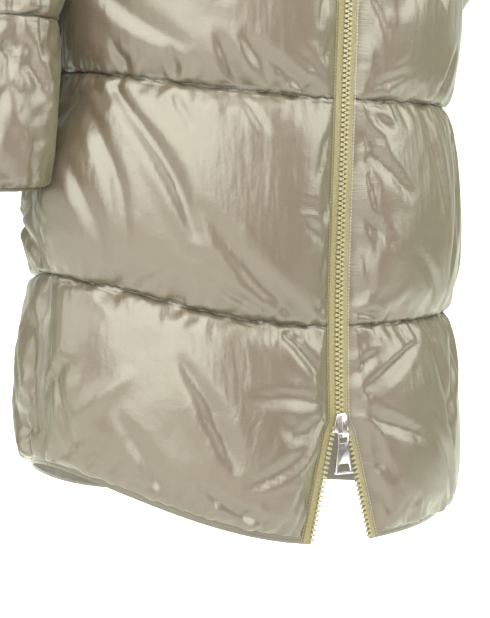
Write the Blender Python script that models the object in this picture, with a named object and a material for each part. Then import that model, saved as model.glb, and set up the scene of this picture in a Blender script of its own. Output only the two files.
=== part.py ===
"""A long padded jacket, worn open at the hem, with no wearer inside.

Metres, +Z up. The wearer faces -Y, so their right side is at -X. The origin lies midway between the
two points where the shoulder seams meet the neck, which is where a wearer's shoulders hold it up.
Each piece of cloth is a wall with a plain inside, and its quilting is raised in the outer points.
"""

import math
from collections import namedtuple

import bmesh
import bpy
import numpy as np
from mathutils import Matrix, Vector

# ---------------------------------------------------------------- driving sizes

CLOTH_WALL = 0.004  # two layers of nylon with the wadding squeezed flat in a seam
BODY_PUFF = 0.016  # how far a baffle stands out beyond its seams
SLEEVE_PUFF = 0.013
COLLAR_PUFF = 0.012
SEAM_GAP = 0.0004  # between two pieces that are sewn together
HEM_MARGIN = 0.006  # the unpadded edge that the hem's topstitching holds flat
POCKET_MARGIN = 0.009  # the unpadded edge along the pocket mouth

ZIP_HALF_CHAIN = 0.0043  # half of the closed chain of a size 10 moulded zip
ZIP_HALF_TAPE = 0.0108  # from the chain's middle to where the cloth covers the tape
ZIP_TAPE_THICKNESS = 0.0012
ZIP_BEAD_THICKNESS = 0.0040
ZIP_CENTRE_GAP = 0.0003
LOWER_SLIDER_HEIGHT = 0.115  # of the lower slider above the hem
UPPER_SLIDER_DROP = 0.016  # of the upper slider's middle below the collar's top edge
SLIDER_SPREAD = 0.0056  # how far the slider's wedge parts each chain
HEM_SPREAD = 0.033  # how far each front edge stands from the middle at the hem
WEDGE_REACH = 0.012  # the height over which a slider's wedge parts the chains
WEDGE_DROP = 0.008  # below this the open fronts fall away from each other
SLIDER_ROWS = (0.012, 0.004, -0.002)  # rows of points beside a slider, from where the chains part
SLIDER_SEAT = 0.004  # how far a slider's middle stands from there

# Each section is a ring round the figure. Its height is given at the centre front, at the wearer's
# left and right sides and at the centre back. The hand in the right pocket lifts the right side.
Section = namedtuple("Section", "name front left right back half_width front_depth back_depth")
SECTIONS = (
    Section("hem", -0.868, -0.858, -0.801, -0.862, 0.220, 0.159, 0.158),
    Section("line_1", -0.666, -0.662, -0.623, -0.661, 0.214, 0.146, 0.148),
    Section("line_2", -0.457, -0.460, -0.438, -0.452, 0.206, 0.148, 0.142),
    Section("line_3", -0.250, -0.250, -0.246, -0.245, 0.202, 0.150, 0.138),
    Section("arm_middle", -0.158, -0.150, -0.150, -0.142, 0.202, 0.141, 0.142),
    Section("shoulder", -0.098, -0.050, -0.050, -0.096, 0.201, 0.116, 0.126),
    Section("mid_shoulder", -0.080, -0.024, -0.024, -0.034, 0.142, 0.100, 0.100),
    Section("neck", -0.064, 0.000, 0.000, 0.014, 0.088, 0.084, 0.074),
    Section("collar_middle", -0.024, 0.038, 0.038, 0.054, 0.084, 0.087, 0.069),
    Section("collar_top", 0.016, 0.076, 0.076, 0.094, 0.082, 0.090, 0.066),
)
HEM, LINE_1, LINE_2, UNDERARM, SHOULDER, NECK, COLLAR_TOP = 0, 1, 2, 3, 5, 7, 9
ARMHOLE_REACH = math.radians(37)  # how far the armhole cuts into the front and the back

# Rows of points within one baffle, closer together beside the seams.
BAFFLE_ROWS = (0.0, 0.045, 0.14, 0.28, 0.44, 0.60, 0.76, 0.89, 0.965)
ARMHOLE_ROWS = 9
COLLAR_ROWS = (0.0, 0.05, 0.16, 0.32, 0.5, 0.65, 1.0)
GATHER_DEPTH = 0.55  # of the puff, right beside a seam
GATHER_REACH = 0.030
CROWN_SHIFT = 0.84  # the filling sinks, so the crown of a baffle is a little below its middle
CROWN_POWER = 0.62

FRONT_COLUMNS = 13
FRONT_CROWDING = 1.08  # above 1, the columns stand closer together beside the zip
BACK_COLUMNS = 20
COLLAR_COLUMNS = 26

# How far from an edge the filling takes to reach its full height.
ZIP_TAPER = 0.045
SIDE_TAPER = 0.040
COLLAR_TAPER = 0.030

# Sizes in the flat, which turn a fold's shares of a panel into lengths.
BAFFLE_HEIGHT = 0.205
FRONT_WIDTH = 0.26
BACK_WIDTH = 0.54

# The pocket mouth lies in the side seam. A hand has lifted the front edge away from the back.
POCKET_TOP = -0.460
POCKET_BOTTOM = -0.632
POCKET_LIFT_RIGHT = 0.021
POCKET_LIFT_LEFT = 0.005
POCKET_LIFT_REACH = math.radians(44)
POCKET_BAG_REACH = math.radians(38)
POCKET_BAG_DROP = 0.055
POCKET_BAG_THICKNESS = 0.0015
POCKET_BAG_GAP = 0.0006  # between the bag and the panel that it backs
POCKET_BAG_OVERLAP = 0.05  # of its reach, past the side seam
POCKET_BAG_RISE = 0.012  # above the mouth's top
POCKET_BAG_COLUMNS, POCKET_BAG_ROWS = 8, 12

# Large soft folds, as a drag line across a baffle. Across runs from the zip (0) to the side seam
# (1), and up from the baffle's lower seam (0) to its upper one (1).
Fold = namedtuple("Fold", "baffle across_0 up_0 across_1 up_1 half_width depth")
FRONT_FOLDS = (
    Fold(0, 0.02, 0.62, 0.34, 0.58, 0.013, 0.007),
    Fold(0, 0.03, 0.28, 0.36, 0.12, 0.013, 0.007),
    Fold(0, 0.05, 0.92, 0.22, 0.70, 0.011, 0.006),
    Fold(0, 0.40, 0.20, 0.62, 0.72, 0.014, 0.006),
    Fold(1, 0.36, 0.12, 0.74, 0.92, 0.015, 0.008),
    Fold(1, 0.66, 0.16, 0.92, 0.86, 0.013, 0.007),
    Fold(1, 0.03, 0.46, 0.20, 0.50, 0.011, 0.006),
    Fold(2, 0.20, 0.06, 0.34, 0.40, 0.012, 0.006),
    Fold(2, 0.52, 0.08, 0.70, 0.55, 0.013, 0.006),
)
BACK_FOLDS = (
    Fold(0, 0.10, 0.20, 0.26, 0.80, 0.014, 0.007),
    Fold(0, 0.62, 0.75, 0.76, 0.15, 0.014, 0.006),
    Fold(1, 0.18, 0.85, 0.34, 0.20, 0.014, 0.007),
    Fold(1, 0.78, 0.20, 0.90, 0.85, 0.013, 0.007),
    Fold(2, 0.30, 0.15, 0.38, 0.80, 0.013, 0.006),
    Fold(2, 0.66, 0.80, 0.74, 0.20, 0.013, 0.006),
)

# The sleeve's rings after the armhole, from the shoulder to the cuff. The tilt turns a ring from
# facing sideways (0 degrees) to facing down (90), and the lean turns it towards the back.
Ring = namedtuple("Ring", "name x y z tilt lean half_width half_depth")
RIGHT_ARM = (
    Ring("cap", -0.254, 0.000, -0.171, 29, 0, 0.077, 0.082),
    Ring("upper_arm", -0.286, 0.004, -0.234, 70, 0, 0.062, 0.071),
    Ring("above_elbow", -0.291, 0.002, -0.310, 86, -2, 0.058, 0.064),
    Ring("elbow", -0.289, -0.006, -0.380, 90, -3, 0.054, 0.059),
    Ring("forearm", -0.292, -0.010, -0.465, 90, -2, 0.049, 0.052),
    Ring("cuff", -0.294, -0.011, -0.546, 92, 0, 0.046, 0.046),
)
LEFT_ARM = (
    Ring("cap", 0.254, 0.006, -0.171, 29, 6, 0.077, 0.082),
    Ring("upper_arm", 0.284, 0.046, -0.228, 68, 26, 0.062, 0.071),
    Ring("above_elbow", 0.279, 0.094, -0.294, 86, 32, 0.058, 0.064),
    Ring("elbow", 0.266, 0.132, -0.356, 94, 28, 0.054, 0.059),
    Ring("forearm", 0.254, 0.166, -0.434, 94, 20, 0.049, 0.052),
    Ring("cuff", 0.250, 0.192, -0.515, 92, 16, 0.046, 0.046),
)
SLEEVE_LINES = (0.0, 2.15, 4.2, 6.0)  # quilting seams, counted in rings from the armhole
SLEEVE_ROWS = (0.0, 0.05, 0.18, 0.38, 0.60, 0.82, 0.95)
CUFF_EDGE = 0.06  # the unpadded edge of the cuff, in rings
ARMHOLE_BLEND = 0.5  # rings over which the sleeve turns away from the panels' own slope
FLAT_FROM, FLAT_OVER = 0.45, 0.4  # where a sleeve turns to the body, in half turns from outward
FLAT_SHARE = 0.72  # how much of the filling the body presses flat there

COLOURS = {
    "nylon": ((0.42, 0.38, 0.28), 0.38, 0.0),
    "lining": ((0.09, 0.08, 0.06), 0.6, 0.0),
    "zip_tape": ((0.36, 0.32, 0.15), 0.8, 0.0),
    "nickel": ((0.78, 0.77, 0.75), 0.22, 1.0),
}


# ---------------------------------------------------------------- small helpers


def clear_scene():
    for old in list(bpy.data.objects):
        bpy.data.objects.remove(old)


def material(name):
    found = bpy.data.materials.get(name)
    if found:
        return found
    colour, roughness, metallic = COLOURS[name]
    made = bpy.data.materials.new(name)
    made.use_nodes = True
    shader = made.node_tree.nodes["Principled BSDF"]
    shader.inputs["Base Color"].default_value = (*colour, 1.0)
    shader.inputs["Roughness"].default_value = roughness
    shader.inputs["Metallic"].default_value = metallic
    return made


def add_object(name, mesh_builder, finish, smooth=True):
    mesh = bpy.data.meshes.new(name)
    mesh_builder.to_mesh(mesh)
    mesh_builder.free()
    if smooth:
        mesh.shade_smooth()
    mesh.materials.append(material(finish))
    made = bpy.data.objects.new(name, mesh)
    bpy.context.scene.collection.objects.link(made)
    return made


def unit(vectors):
    return vectors / np.maximum(np.linalg.norm(vectors, axis=-1, keepdims=True), 1e-12)


def smoothstep(x):
    x = np.clip(x, 0.0, 1.0)
    return x * x * (3.0 - 2.0 * x)


def through(points, at):
    """The smooth curve through a list of points, read at the positions at, counted in points."""
    at = np.asarray(at, float)
    points = np.asarray(points, float)
    last = len(points) - 1
    low = np.clip(np.floor(at).astype(int), 0, last - 1)
    t = (at - low).reshape(at.shape + (1,) * (points.ndim - 1))
    before = points[np.maximum(low - 1, 0)]
    start, end = points[low], points[low + 1]
    after = points[np.minimum(low + 2, last)]
    leave, arrive = (end - before) / 2, (after - start) / 2
    return (
        start * (2 * t**3 - 3 * t**2 + 1)
        + leave * (t**3 - 2 * t**2 + t)
        + end * (3 * t**2 - 2 * t**3)
        + arrive * (t**3 - t**2)
    )


def taper(distance, reach):
    """0 at a seam, rising like the side of a cushion to 1 at reach."""
    share = np.clip(distance / reach, 0.0, 1.0)
    return np.sqrt(np.maximum(1.0 - (1.0 - share) ** 2, 0.0))


def crown(up):
    """The side view of one baffle, from its lower seam (0) to its upper one (1)."""
    return np.sin(np.pi * np.clip(up, 0.0, 1.0) ** CROWN_SHIFT) ** CROWN_POWER


# ---------------------------------------------------------------- the figure that carries the cloth


def body_point(level, angle):
    """A point of the body's plain inside. The angle is 0 at the centre front and grows to the left."""
    level, angle = np.broadcast_arrays(np.asarray(level, float), np.asarray(angle, float))
    columns = through([section[1:] for section in SECTIONS], level)
    front, left, right, back, half_width, front_depth, back_depth = np.moveaxis(columns, -1, 0)
    sine, cosine = np.sin(angle), np.cos(angle)
    middle = np.where(cosine > 0, front, back)
    side = np.where(sine > 0, left, right)
    depth = np.where(cosine > 0, front_depth, back_depth)
    height = middle * cosine**2 + side * sine**2
    return np.stack([half_width * sine, -depth * cosine, height], -1)


def body_normal(level, angle):
    step = 0.002
    high = np.minimum(np.asarray(level, float) + step, COLLAR_TOP)
    low = np.maximum(np.asarray(level, float) - step, HEM)
    round_it = body_point(level, angle + step) - body_point(level, angle - step)
    up_it = body_point(high, angle) - body_point(low, angle)
    return unit(np.cross(round_it, up_it))


def armhole_angle(level):
    """How far an armhole's edge stands from the side seam, at each level."""
    share = np.clip((np.asarray(level, float) - UNDERARM) / (SHOULDER - UNDERARM), 0.0, 1.0)
    return ARMHOLE_REACH * np.sqrt(np.maximum(1.0 - (2.0 * share - 1.0) ** 2, 0.0))


def front_height(level):
    return body_point(level, 0.0)[..., 2]


def level_at(height):
    """The level at which the centre front has this height."""
    levels = np.linspace(HEM, COLLAR_TOP, 2401)
    return np.interp(height, front_height(levels), levels)


def zip_opening(height):
    """How far each chain stands from the middle: most at the hem, and nothing between the sliders."""
    below = LOWER_SLIDER_HEIGHT + SECTIONS[HEM].front - height
    wedge = SLIDER_SPREAD * smoothstep(below / WEDGE_REACH)
    spread = (HEM_SPREAD - SLIDER_SPREAD) * np.clip(below - WEDGE_DROP, 0.0, None)
    above = height - (SECTIONS[COLLAR_TOP].front - UPPER_SLIDER_DROP)
    top_wedge = SLIDER_SPREAD * smoothstep(above / WEDGE_REACH)
    return wedge + spread / (LOWER_SLIDER_HEIGHT - WEDGE_DROP) + top_wedge


def angle_at(level, x):
    half_width = through([section.half_width for section in SECTIONS], level)
    return np.arcsin(x / half_width)


# ---------------------------------------------------------------- walls of cloth


def wall(name, inner, outer, finish="nylon", closed_round=False):
    """One closed shell between two grids of points. Rows run up and columns run round."""
    rows, columns = inner.shape[:2]
    build = bmesh.new()
    inside = [[build.verts.new(p) for p in row] for row in inner]
    outside = [[build.verts.new(p) for p in row] for row in outer]
    across = range(columns if closed_round else columns - 1)
    for r in range(rows - 1):
        for c in across:
            n = (c + 1) % columns
            build.faces.new((outside[r][c], outside[r][n], outside[r + 1][n], outside[r + 1][c]))
            build.faces.new((inside[r][c], inside[r + 1][c], inside[r + 1][n], inside[r][n]))
    for c in across:
        n = (c + 1) % columns
        build.faces.new((inside[0][c], inside[0][n], outside[0][n], outside[0][c]))
        build.faces.new((inside[-1][n], inside[-1][c], outside[-1][c], outside[-1][n]))
    if not closed_round:
        for r in range(rows - 1):
            build.faces.new((inside[r + 1][0], inside[r][0], outside[r][0], outside[r + 1][0]))
            build.faces.new((inside[r][-1], inside[r + 1][-1], outside[r + 1][-1], outside[r][-1]))
    bmesh.ops.recalc_face_normals(build, faces=build.faces)
    return add_object(name, build, finish)


def drawn_in(grid, gap, sides):
    """The grid with the named edges moved back along the cloth, to leave a seam's gap."""
    grid = grid.copy()
    for axis, end in sides:
        lines = np.moveaxis(grid, axis, 0)
        edge, beside = (0, 1) if end == 0 else (-1, -2)
        lines[edge] += unit(lines[beside] - lines[edge]) * gap
    return grid


def body_levels():
    """The rows of a body panel, from the hem to the neck, with the lower slider's rows among them."""
    lower = [baffle + up for baffle in (HEM, LINE_1, LINE_2) for up in BAFFLE_ROWS]
    hem_edge = level_at(SECTIONS[HEM].front + HEM_MARGIN)
    slider = level_at(SECTIONS[HEM].front + LOWER_SLIDER_HEIGHT - np.array(SLIDER_ROWS))
    turns = np.linspace(0.0, math.pi, ARMHOLE_ROWS)
    armhole = UNDERARM + (SHOULDER - UNDERARM) * (1.0 - np.cos(turns)) / 2
    yoke = np.linspace(SHOULDER, NECK, 6)[1:]
    levels = np.concatenate([lower, [hem_edge], slider, armhole, yoke])
    return np.unique(np.round(levels, 5))


def up_the_baffle(level):
    """(which baffle, how far up it) for each level. Everything above the underarm is one baffle."""
    baffle = np.clip(np.floor(level), 0, UNDERARM).astype(int)
    top = np.where(baffle == UNDERARM, NECK, baffle + 1)
    up = (level - baffle) / (top - baffle)
    margin = HEM_MARGIN / (SECTIONS[LINE_1].front - SECTIONS[HEM].front)
    up = np.where(baffle == HEM, (up - margin) / (1.0 - margin), up)
    return baffle, up


def fold_depth(folds, baffle, across, up, width):
    """How deep the drag folds press the cloth in, for points given in shares of one panel."""
    baffle, across, up = np.broadcast_arrays(baffle, across, up)
    depth = np.zeros(across.shape)
    for fold in folds:
        start = np.array([fold.across_0 * width, fold.up_0 * BAFFLE_HEIGHT])
        run = np.array([fold.across_1 * width, fold.up_1 * BAFFLE_HEIGHT]) - start
        here = np.stack([across * width, up * BAFFLE_HEIGHT], -1) - start
        along = np.clip((here @ run) / (run @ run), 0.0, 1.0)
        away = np.linalg.norm(here - along[..., None] * run, axis=-1)
        shape = np.exp(-((away / fold.half_width) ** 2)) * np.sin(np.pi * (0.08 + 0.84 * along))
        depth += np.where(baffle == fold.baffle, fold.depth * shape, 0.0)
    return depth


def gathers(up, columns):
    """The cloth's small folds beside the quilting seams, as a share of the puff: one to a column."""
    from_seam = np.minimum(up, 1.0 - up) * BAFFLE_HEIGHT
    fade = np.exp(-np.clip(from_seam, 0.0, None) / GATHER_REACH)
    step = np.where(np.arange(columns) % 2 == 0, 1.0, -1.0)
    return 1.0 + GATHER_DEPTH * fade * step


def pocket_lift(side, angle, height):
    """How far the pocket's mouth pushes the front panel out, beside the side seam."""
    lift = POCKET_LIFT_LEFT if side > 0 else POCKET_LIFT_RIGHT
    mouth = (height - POCKET_BOTTOM) / (POCKET_TOP - POCKET_BOTTOM)
    from_seam = (math.pi / 2 - np.abs(angle)) / POCKET_LIFT_REACH
    return lift * np.sin(np.pi * np.clip(mouth, 0.0, 1.0)) * (1.0 - smoothstep(from_seam))


def armhole_distance(points, side):
    """How far each point is from one armhole's edge."""
    share = np.linspace(0.0, 1.0, 33)
    levels = UNDERARM + (SHOULDER - UNDERARM) * (1.0 - np.cos(np.pi * share)) / 2
    reach = armhole_angle(levels)
    angles = np.concatenate([math.pi / 2 - reach, math.pi / 2 + reach]) * side
    edge = body_point(np.concatenate([levels, levels]), angles)
    return np.linalg.norm(points[..., None, :] - edge, axis=-1).min(axis=-1)


def front_grid(side):
    """Inner and outer points of one front. side is 1 for the wearer's left and -1 for the right."""
    levels = body_levels()[:, None]
    zip_edge = angle_at(levels, zip_opening(front_height(levels)) + ZIP_HALF_TAPE)
    side_edge = math.pi / 2 - armhole_angle(levels)
    share = np.linspace(0.0, 1.0, FRONT_COLUMNS) ** FRONT_CROWDING
    angle = (zip_edge + share * (side_edge - zip_edge)) * side
    inner, normal = body_point(levels, angle), body_normal(levels, angle)
    inner = inner + normal * pocket_lift(side, angle, inner[..., 2])[..., None]
    steps = np.linalg.norm(np.diff(inner, axis=1), axis=-1)
    from_zip = np.concatenate([np.zeros_like(levels), np.cumsum(steps, axis=1)], axis=1)
    from_side = from_zip[:, -1:] - from_zip
    baffle, up = up_the_baffle(levels)
    from_side = np.minimum(from_side - POCKET_MARGIN, armhole_distance(inner, side))
    puff = BODY_PUFF * crown(up) * taper(from_zip, ZIP_TAPER) * taper(from_side, SIDE_TAPER)
    puff = puff * gathers(up, FRONT_COLUMNS)
    puff = puff - fold_depth(FRONT_FOLDS, baffle, share, up, FRONT_WIDTH) * crown(up)
    outer = inner + normal * (CLOTH_WALL + np.maximum(puff, 0.0))[..., None]
    if side < 0:
        inner, outer = inner[:, ::-1], outer[:, ::-1]
    return inner, outer


def back_grid():
    levels = body_levels()[:, None]
    start = math.pi / 2 + armhole_angle(levels)
    share = np.linspace(0.0, 1.0, BACK_COLUMNS + 1)
    angle = start + share * (2 * math.pi - 2 * start)
    inner, normal = body_point(levels, angle), body_normal(levels, angle)
    steps = np.linalg.norm(np.diff(inner, axis=1), axis=-1)
    from_left = np.concatenate([np.zeros_like(levels), np.cumsum(steps, axis=1)], axis=1)
    from_edge = np.minimum(from_left, from_left[:, -1:] - from_left)
    baffle, up = up_the_baffle(levels)
    for side in (1, -1):
        from_edge = np.minimum(from_edge, armhole_distance(inner, side))
    puff = BODY_PUFF * crown(up) * taper(from_edge, SIDE_TAPER)
    puff = puff * gathers(up, BACK_COLUMNS + 1)
    puff = puff - fold_depth(BACK_FOLDS, baffle, share, up, BACK_WIDTH) * crown(up)
    outer = inner + normal * (CLOTH_WALL + np.maximum(puff, 0.0))[..., None]
    return inner, outer


def add_body():
    edges = ((0, 1), (1, 0), (1, 1))  # the neck, and the two upright seams
    for side, name in ((1, "front_left"), (-1, "front_right")):
        inner, outer = front_grid(side)
        wall(name, drawn_in(inner, SEAM_GAP, edges), drawn_in(outer, SEAM_GAP, edges))
    inner, outer = back_grid()
    wall("back", drawn_in(inner, SEAM_GAP, edges), drawn_in(outer, SEAM_GAP, edges))


def collar_levels():
    slider_height = SECTIONS[COLLAR_TOP].front - UPPER_SLIDER_DROP
    slider = level_at(slider_height + np.array(SLIDER_ROWS))
    levels = np.concatenate([NECK + np.array(COLLAR_ROWS) * (COLLAR_TOP - NECK), slider])
    return np.unique(np.round(levels, 5))


def add_collar():
    levels = collar_levels()[:, None]
    rows = (levels - NECK) / (COLLAR_TOP - NECK)
    edge = angle_at(levels, zip_opening(front_height(levels)) + ZIP_HALF_TAPE)
    share = np.linspace(0.0, 1.0, COLLAR_COLUMNS + 1)
    angle = edge + share * (2 * math.pi - 2 * edge)
    inner, normal = body_point(levels, angle), body_normal(levels, angle)
    steps = np.linalg.norm(np.diff(inner, axis=1), axis=-1)
    from_left = np.concatenate([np.zeros_like(levels), np.cumsum(steps, axis=1)], axis=1)
    from_edge = np.minimum(from_left, from_left[:, -1:] - from_left)
    puff = COLLAR_PUFF * crown(rows) * taper(from_edge, COLLAR_TAPER)
    outer = inner + normal * (CLOTH_WALL + puff)[..., None]
    edges = ((0, 0), (1, 0), (1, 1))
    wall("collar", drawn_in(inner, SEAM_GAP, edges), drawn_in(outer, SEAM_GAP, edges))


# ---------------------------------------------------------------- sleeves


def with_midpoints(loop):
    """The closed loop with one more point halfway along each of its sides."""
    halfway = (loop + np.roll(loop, -1, axis=0)) / 2
    return np.stack([loop, halfway], 1).reshape(-1, 3)


def armhole_loop(side):
    """The armhole's edge from the underarm, up the front and down the back: points and normals."""
    levels = np.array([level for level in body_levels() if UNDERARM <= level <= SHOULDER])
    front = (math.pi / 2 - armhole_angle(levels)) * side
    back = (math.pi / 2 + armhole_angle(levels)) * side
    all_levels = np.concatenate([levels, levels[-2:0:-1]])
    all_angles = np.concatenate([front, back[-2:0:-1]])
    points = with_midpoints(body_point(all_levels, all_angles))
    return points, unit(with_midpoints(body_normal(all_levels, all_angles)))


def arm_ring(ring, side, turn):
    """The points of one ring of the sleeve's plain inside."""
    tilt, lean = math.radians(ring.tilt), math.radians(ring.lean)
    direction = unit(np.array([side * math.cos(tilt), math.tan(lean) * math.sin(tilt), -math.sin(tilt)]))
    outward = np.array([side * math.sin(tilt), 0.0, math.cos(tilt)])
    outward = unit(outward - direction * (outward @ direction))
    forward = np.cross(outward, direction) * -side
    forward *= -np.sign(forward[1])
    across = np.cos(turn)[:, None] * outward * ring.half_width
    return np.array([ring.x, ring.y, ring.z]) + across + np.sin(turn)[:, None] * forward * ring.half_depth


def sleeve_loops(side, arm):
    """The armhole and then one ring for each row of the arm's table."""
    edge, normal = armhole_loop(side)
    along = np.roll(edge, -1, axis=0) - np.roll(edge, 1, axis=0)
    into_hole = unit(np.cross(along, normal))
    into_hole *= np.sign((into_hole * (edge.mean(axis=0) - edge)).sum(axis=1, keepdims=True))
    start = edge + into_hole * SEAM_GAP
    turn = np.linspace(math.pi, -math.pi, len(start), endpoint=False)
    loops = [start] + [arm_ring(ring, side, turn) for ring in arm]
    return np.array(loops), turn, normal


def sleeve_positions():
    ends = list(zip(SLEEVE_LINES[:-1], SLEEVE_LINES[1:]))
    rows = [low + up * (high - low) for low, high in ends for up in SLEEVE_ROWS]
    return np.array(rows + [SLEEVE_LINES[-1] - CUFF_EDGE, SLEEVE_LINES[-1]])


def add_sleeve(name, side, arm):
    loops, turn, seam_normal = sleeve_loops(side, arm)
    at = sleeve_positions()
    inner = through(loops, at)
    step = 0.02
    forward = through(loops, np.minimum(at + step, SLEEVE_LINES[-1]))
    backward = through(loops, np.maximum(at - step, 0.0))
    round_it = np.roll(inner, -1, axis=1) - np.roll(inner, 1, axis=1)
    normal = unit(np.cross(round_it, forward - backward))
    centre = inner.mean(axis=1, keepdims=True)
    normal *= np.sign(((inner - centre) * normal).sum(axis=(1, 2)))[:, None, None]
    own = smoothstep(at / ARMHOLE_BLEND)[:, None, None]
    normal = unit(normal * own + seam_normal * (1.0 - own))
    puff = np.zeros(len(at))
    for low, high in zip(SLEEVE_LINES[:-1], SLEEVE_LINES[1:]):
        inside = (at >= low) & (at <= high)
        puff[inside] = SLEEVE_PUFF * crown(1.0 - (at[inside] - low) / (high - low))
    puff[-2:] = 0.0
    facing_body = smoothstep((np.abs(turn) / math.pi - FLAT_FROM) / FLAT_OVER)
    full = 1.0 - FLAT_SHARE * facing_body
    outer = inner + normal * (CLOTH_WALL + puff[:, None] * full)[..., None]
    wall(name, inner, outer, closed_round=True)


# ---------------------------------------------------------------- pockets


def add_pocket_bag(name, side):
    """The sheet that backs the pocket mouth. It lies just inside the front panel."""
    reach = np.linspace(-POCKET_BAG_OVERLAP, 1.0, POCKET_BAG_COLUMNS)
    angle = (math.pi / 2 - reach * POCKET_BAG_REACH) * side
    lowest, highest = POCKET_BOTTOM - POCKET_BAG_DROP, POCKET_TOP + POCKET_BAG_RISE
    heights = np.linspace(lowest, highest, POCKET_BAG_ROWS)
    levels = np.linspace(HEM, UNDERARM, 1201)
    grid = []
    for column in angle:
        column_heights = body_point(levels, np.full_like(levels, column))[:, 2]
        grid.append(np.interp(heights, column_heights, levels))
    level = np.array(grid).T
    surface, normal = body_point(level, angle[None, :]), body_normal(level, angle[None, :])
    outer = surface - normal * POCKET_BAG_GAP
    inner = surface - normal * (POCKET_BAG_GAP + POCKET_BAG_THICKNESS)
    if side < 0:
        inner, outer = inner[:, ::-1], outer[:, ::-1]
    wall(name, inner, outer, finish="lining")


# ---------------------------------------------------------------- the zip


def zip_levels():
    """The rows of the front panels, carried on up through the collar."""
    return np.concatenate([body_levels(), collar_levels()[1:]])


def add_zip_tape(name, side):
    """One half of the zip: a flat tape with the thick bead of its chain along the inner edge."""
    levels = zip_levels()
    opening = zip_opening(front_height(levels))
    shift = ZIP_HALF_TAPE - SEAM_GAP / 2
    profile = (
        (ZIP_CENTRE_GAP / 2, 0.0),
        (shift, 0.0),
        (shift, ZIP_TAPE_THICKNESS),
        (ZIP_HALF_CHAIN, ZIP_TAPE_THICKNESS),
        (ZIP_HALF_CHAIN, ZIP_BEAD_THICKNESS),
        (ZIP_CENTRE_GAP / 2, ZIP_BEAD_THICKNESS),
    )
    build = bmesh.new()
    rings = []
    for level, open_here in zip(levels, opening):
        ring = []
        for across, out in profile:
            angle = angle_at(level, open_here + across) * side
            ring.append(build.verts.new(body_point(level, angle) + body_normal(level, angle) * out))
        rings.append(ring)
    for low, high in zip(rings[:-1], rings[1:]):
        for c in range(len(profile)):
            n = (c + 1) % len(profile)
            build.faces.new((low[c], low[n], high[n], high[c]))
    build.faces.new(rings[0])
    build.faces.new(rings[-1])
    bmesh.ops.recalc_face_normals(build, faces=build.faces)
    add_object(name, build, "zip_tape", smooth=False)


# Sizes of the slider and its pull, seen from the front. Up is towards the closed chain.
SLIDER_LENGTH = 0.0180
SLIDER_SHOULDER = 0.0162
SLIDER_THROAT = 0.0096
SLIDER_PLATE = 0.0014
SLIDER_FRONT = ZIP_BEAD_THICKNESS + 0.0004
SLIDER_BACK = -0.0011
CROWN_WIDTH = 0.0056
CROWN_HEIGHT = 0.0046
CROWN_WALL = 0.0013
CROWN_LOW, CROWN_HIGH = -0.0125, 0.0072
SLIDER_WAIST = -0.0010  # the slider is widest from here down
SLIDER_CORNER_UP, SLIDER_CORNER_IN = 0.0030, 0.0035
WEDGE_WIDTH, WEDGE_TIP = 0.0032, 0.0014
WEDGE_START, WEDGE_END = 0.0004, 0.0045  # from the slider's closed end
BITE = 0.0005  # how far joined pieces of the slider reach into each other
HINGE_UP = -0.0096  # the pull's bar, measured from the slider's middle
HINGE_OUT = SLIDER_FRONT + SLIDER_PLATE + 0.0017
PULL_LENGTH = 0.0372
PULL_THICKNESS = 0.0016
PULL_TOP_WIDTH = 0.0126
PULL_FOOT_WIDTH = 0.0218
EYE_WIDTH, EYE_LENGTH = 0.0092, 0.0084
WINDOW_TOP_WIDTH, WINDOW_FOOT_WIDTH, WINDOW_LENGTH = 0.0140, 0.0162, 0.0074
PULL_BAR = 0.0016
PULL_CORNER = 0.0012
PULL_NECK = 0.0020  # below the eye, where the tab starts to widen
PULL_FLARE = 0.0060  # above the foot, where it is nearly at its widest
FOOT_CORNER_UP, FOOT_CORNER_IN = 0.0016, 0.0010
WINDOW_FOOT = 0.0022  # the metal left below the window
WINDOW_CORNER_UP, WINDOW_CORNER_IN = 0.0015, 0.0018


def prism(name, outline, low, high):
    """A flat plate: the outline, in (across, up), extruded from low to high along the way out."""
    build = bmesh.new()
    corners = [build.verts.new((across, -low, up)) for across, up in outline]
    face = build.faces.new(corners)
    pushed = bmesh.ops.extrude_face_region(build, geom=[face])
    moved = [item for item in pushed["geom"] if isinstance(item, bmesh.types.BMVert)]
    bmesh.ops.translate(build, verts=moved, vec=(0.0, low - high, 0.0))
    bmesh.ops.recalc_face_normals(build, faces=build.faces)
    return add_object(name, build, "nickel", smooth=False)


def box_outline(width, low, high):
    return ((-width / 2, low), (width / 2, low), (width / 2, high), (-width / 2, high))


def helper(thing):
    thing.hide_render = True
    thing.display_type = "WIRE"
    return thing


def combine(target, other, operation):
    step = target.modifiers.new(f"{operation.lower()} {other.name}", "BOOLEAN")
    step.operation = operation
    step.object = helper(other)
    return target


def place(thing, frame):
    for item in (thing, *[step.object for step in thing.modifiers if step.type == "BOOLEAN"]):
        item.matrix_world = frame


def slider_frame(level):
    """Where a slider sits: on the centre front, facing out."""
    normal = Vector(body_normal(level, 0.0))
    out = -normal
    up = Vector((0.0, 0.0, 1.0))
    up = (up - out * up.dot(out)).normalized()
    across = out.cross(up)
    turn = Matrix((across, out, up)).transposed().to_4x4()
    return Matrix.Translation(Vector(body_point(level, 0.0))) @ turn


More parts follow.
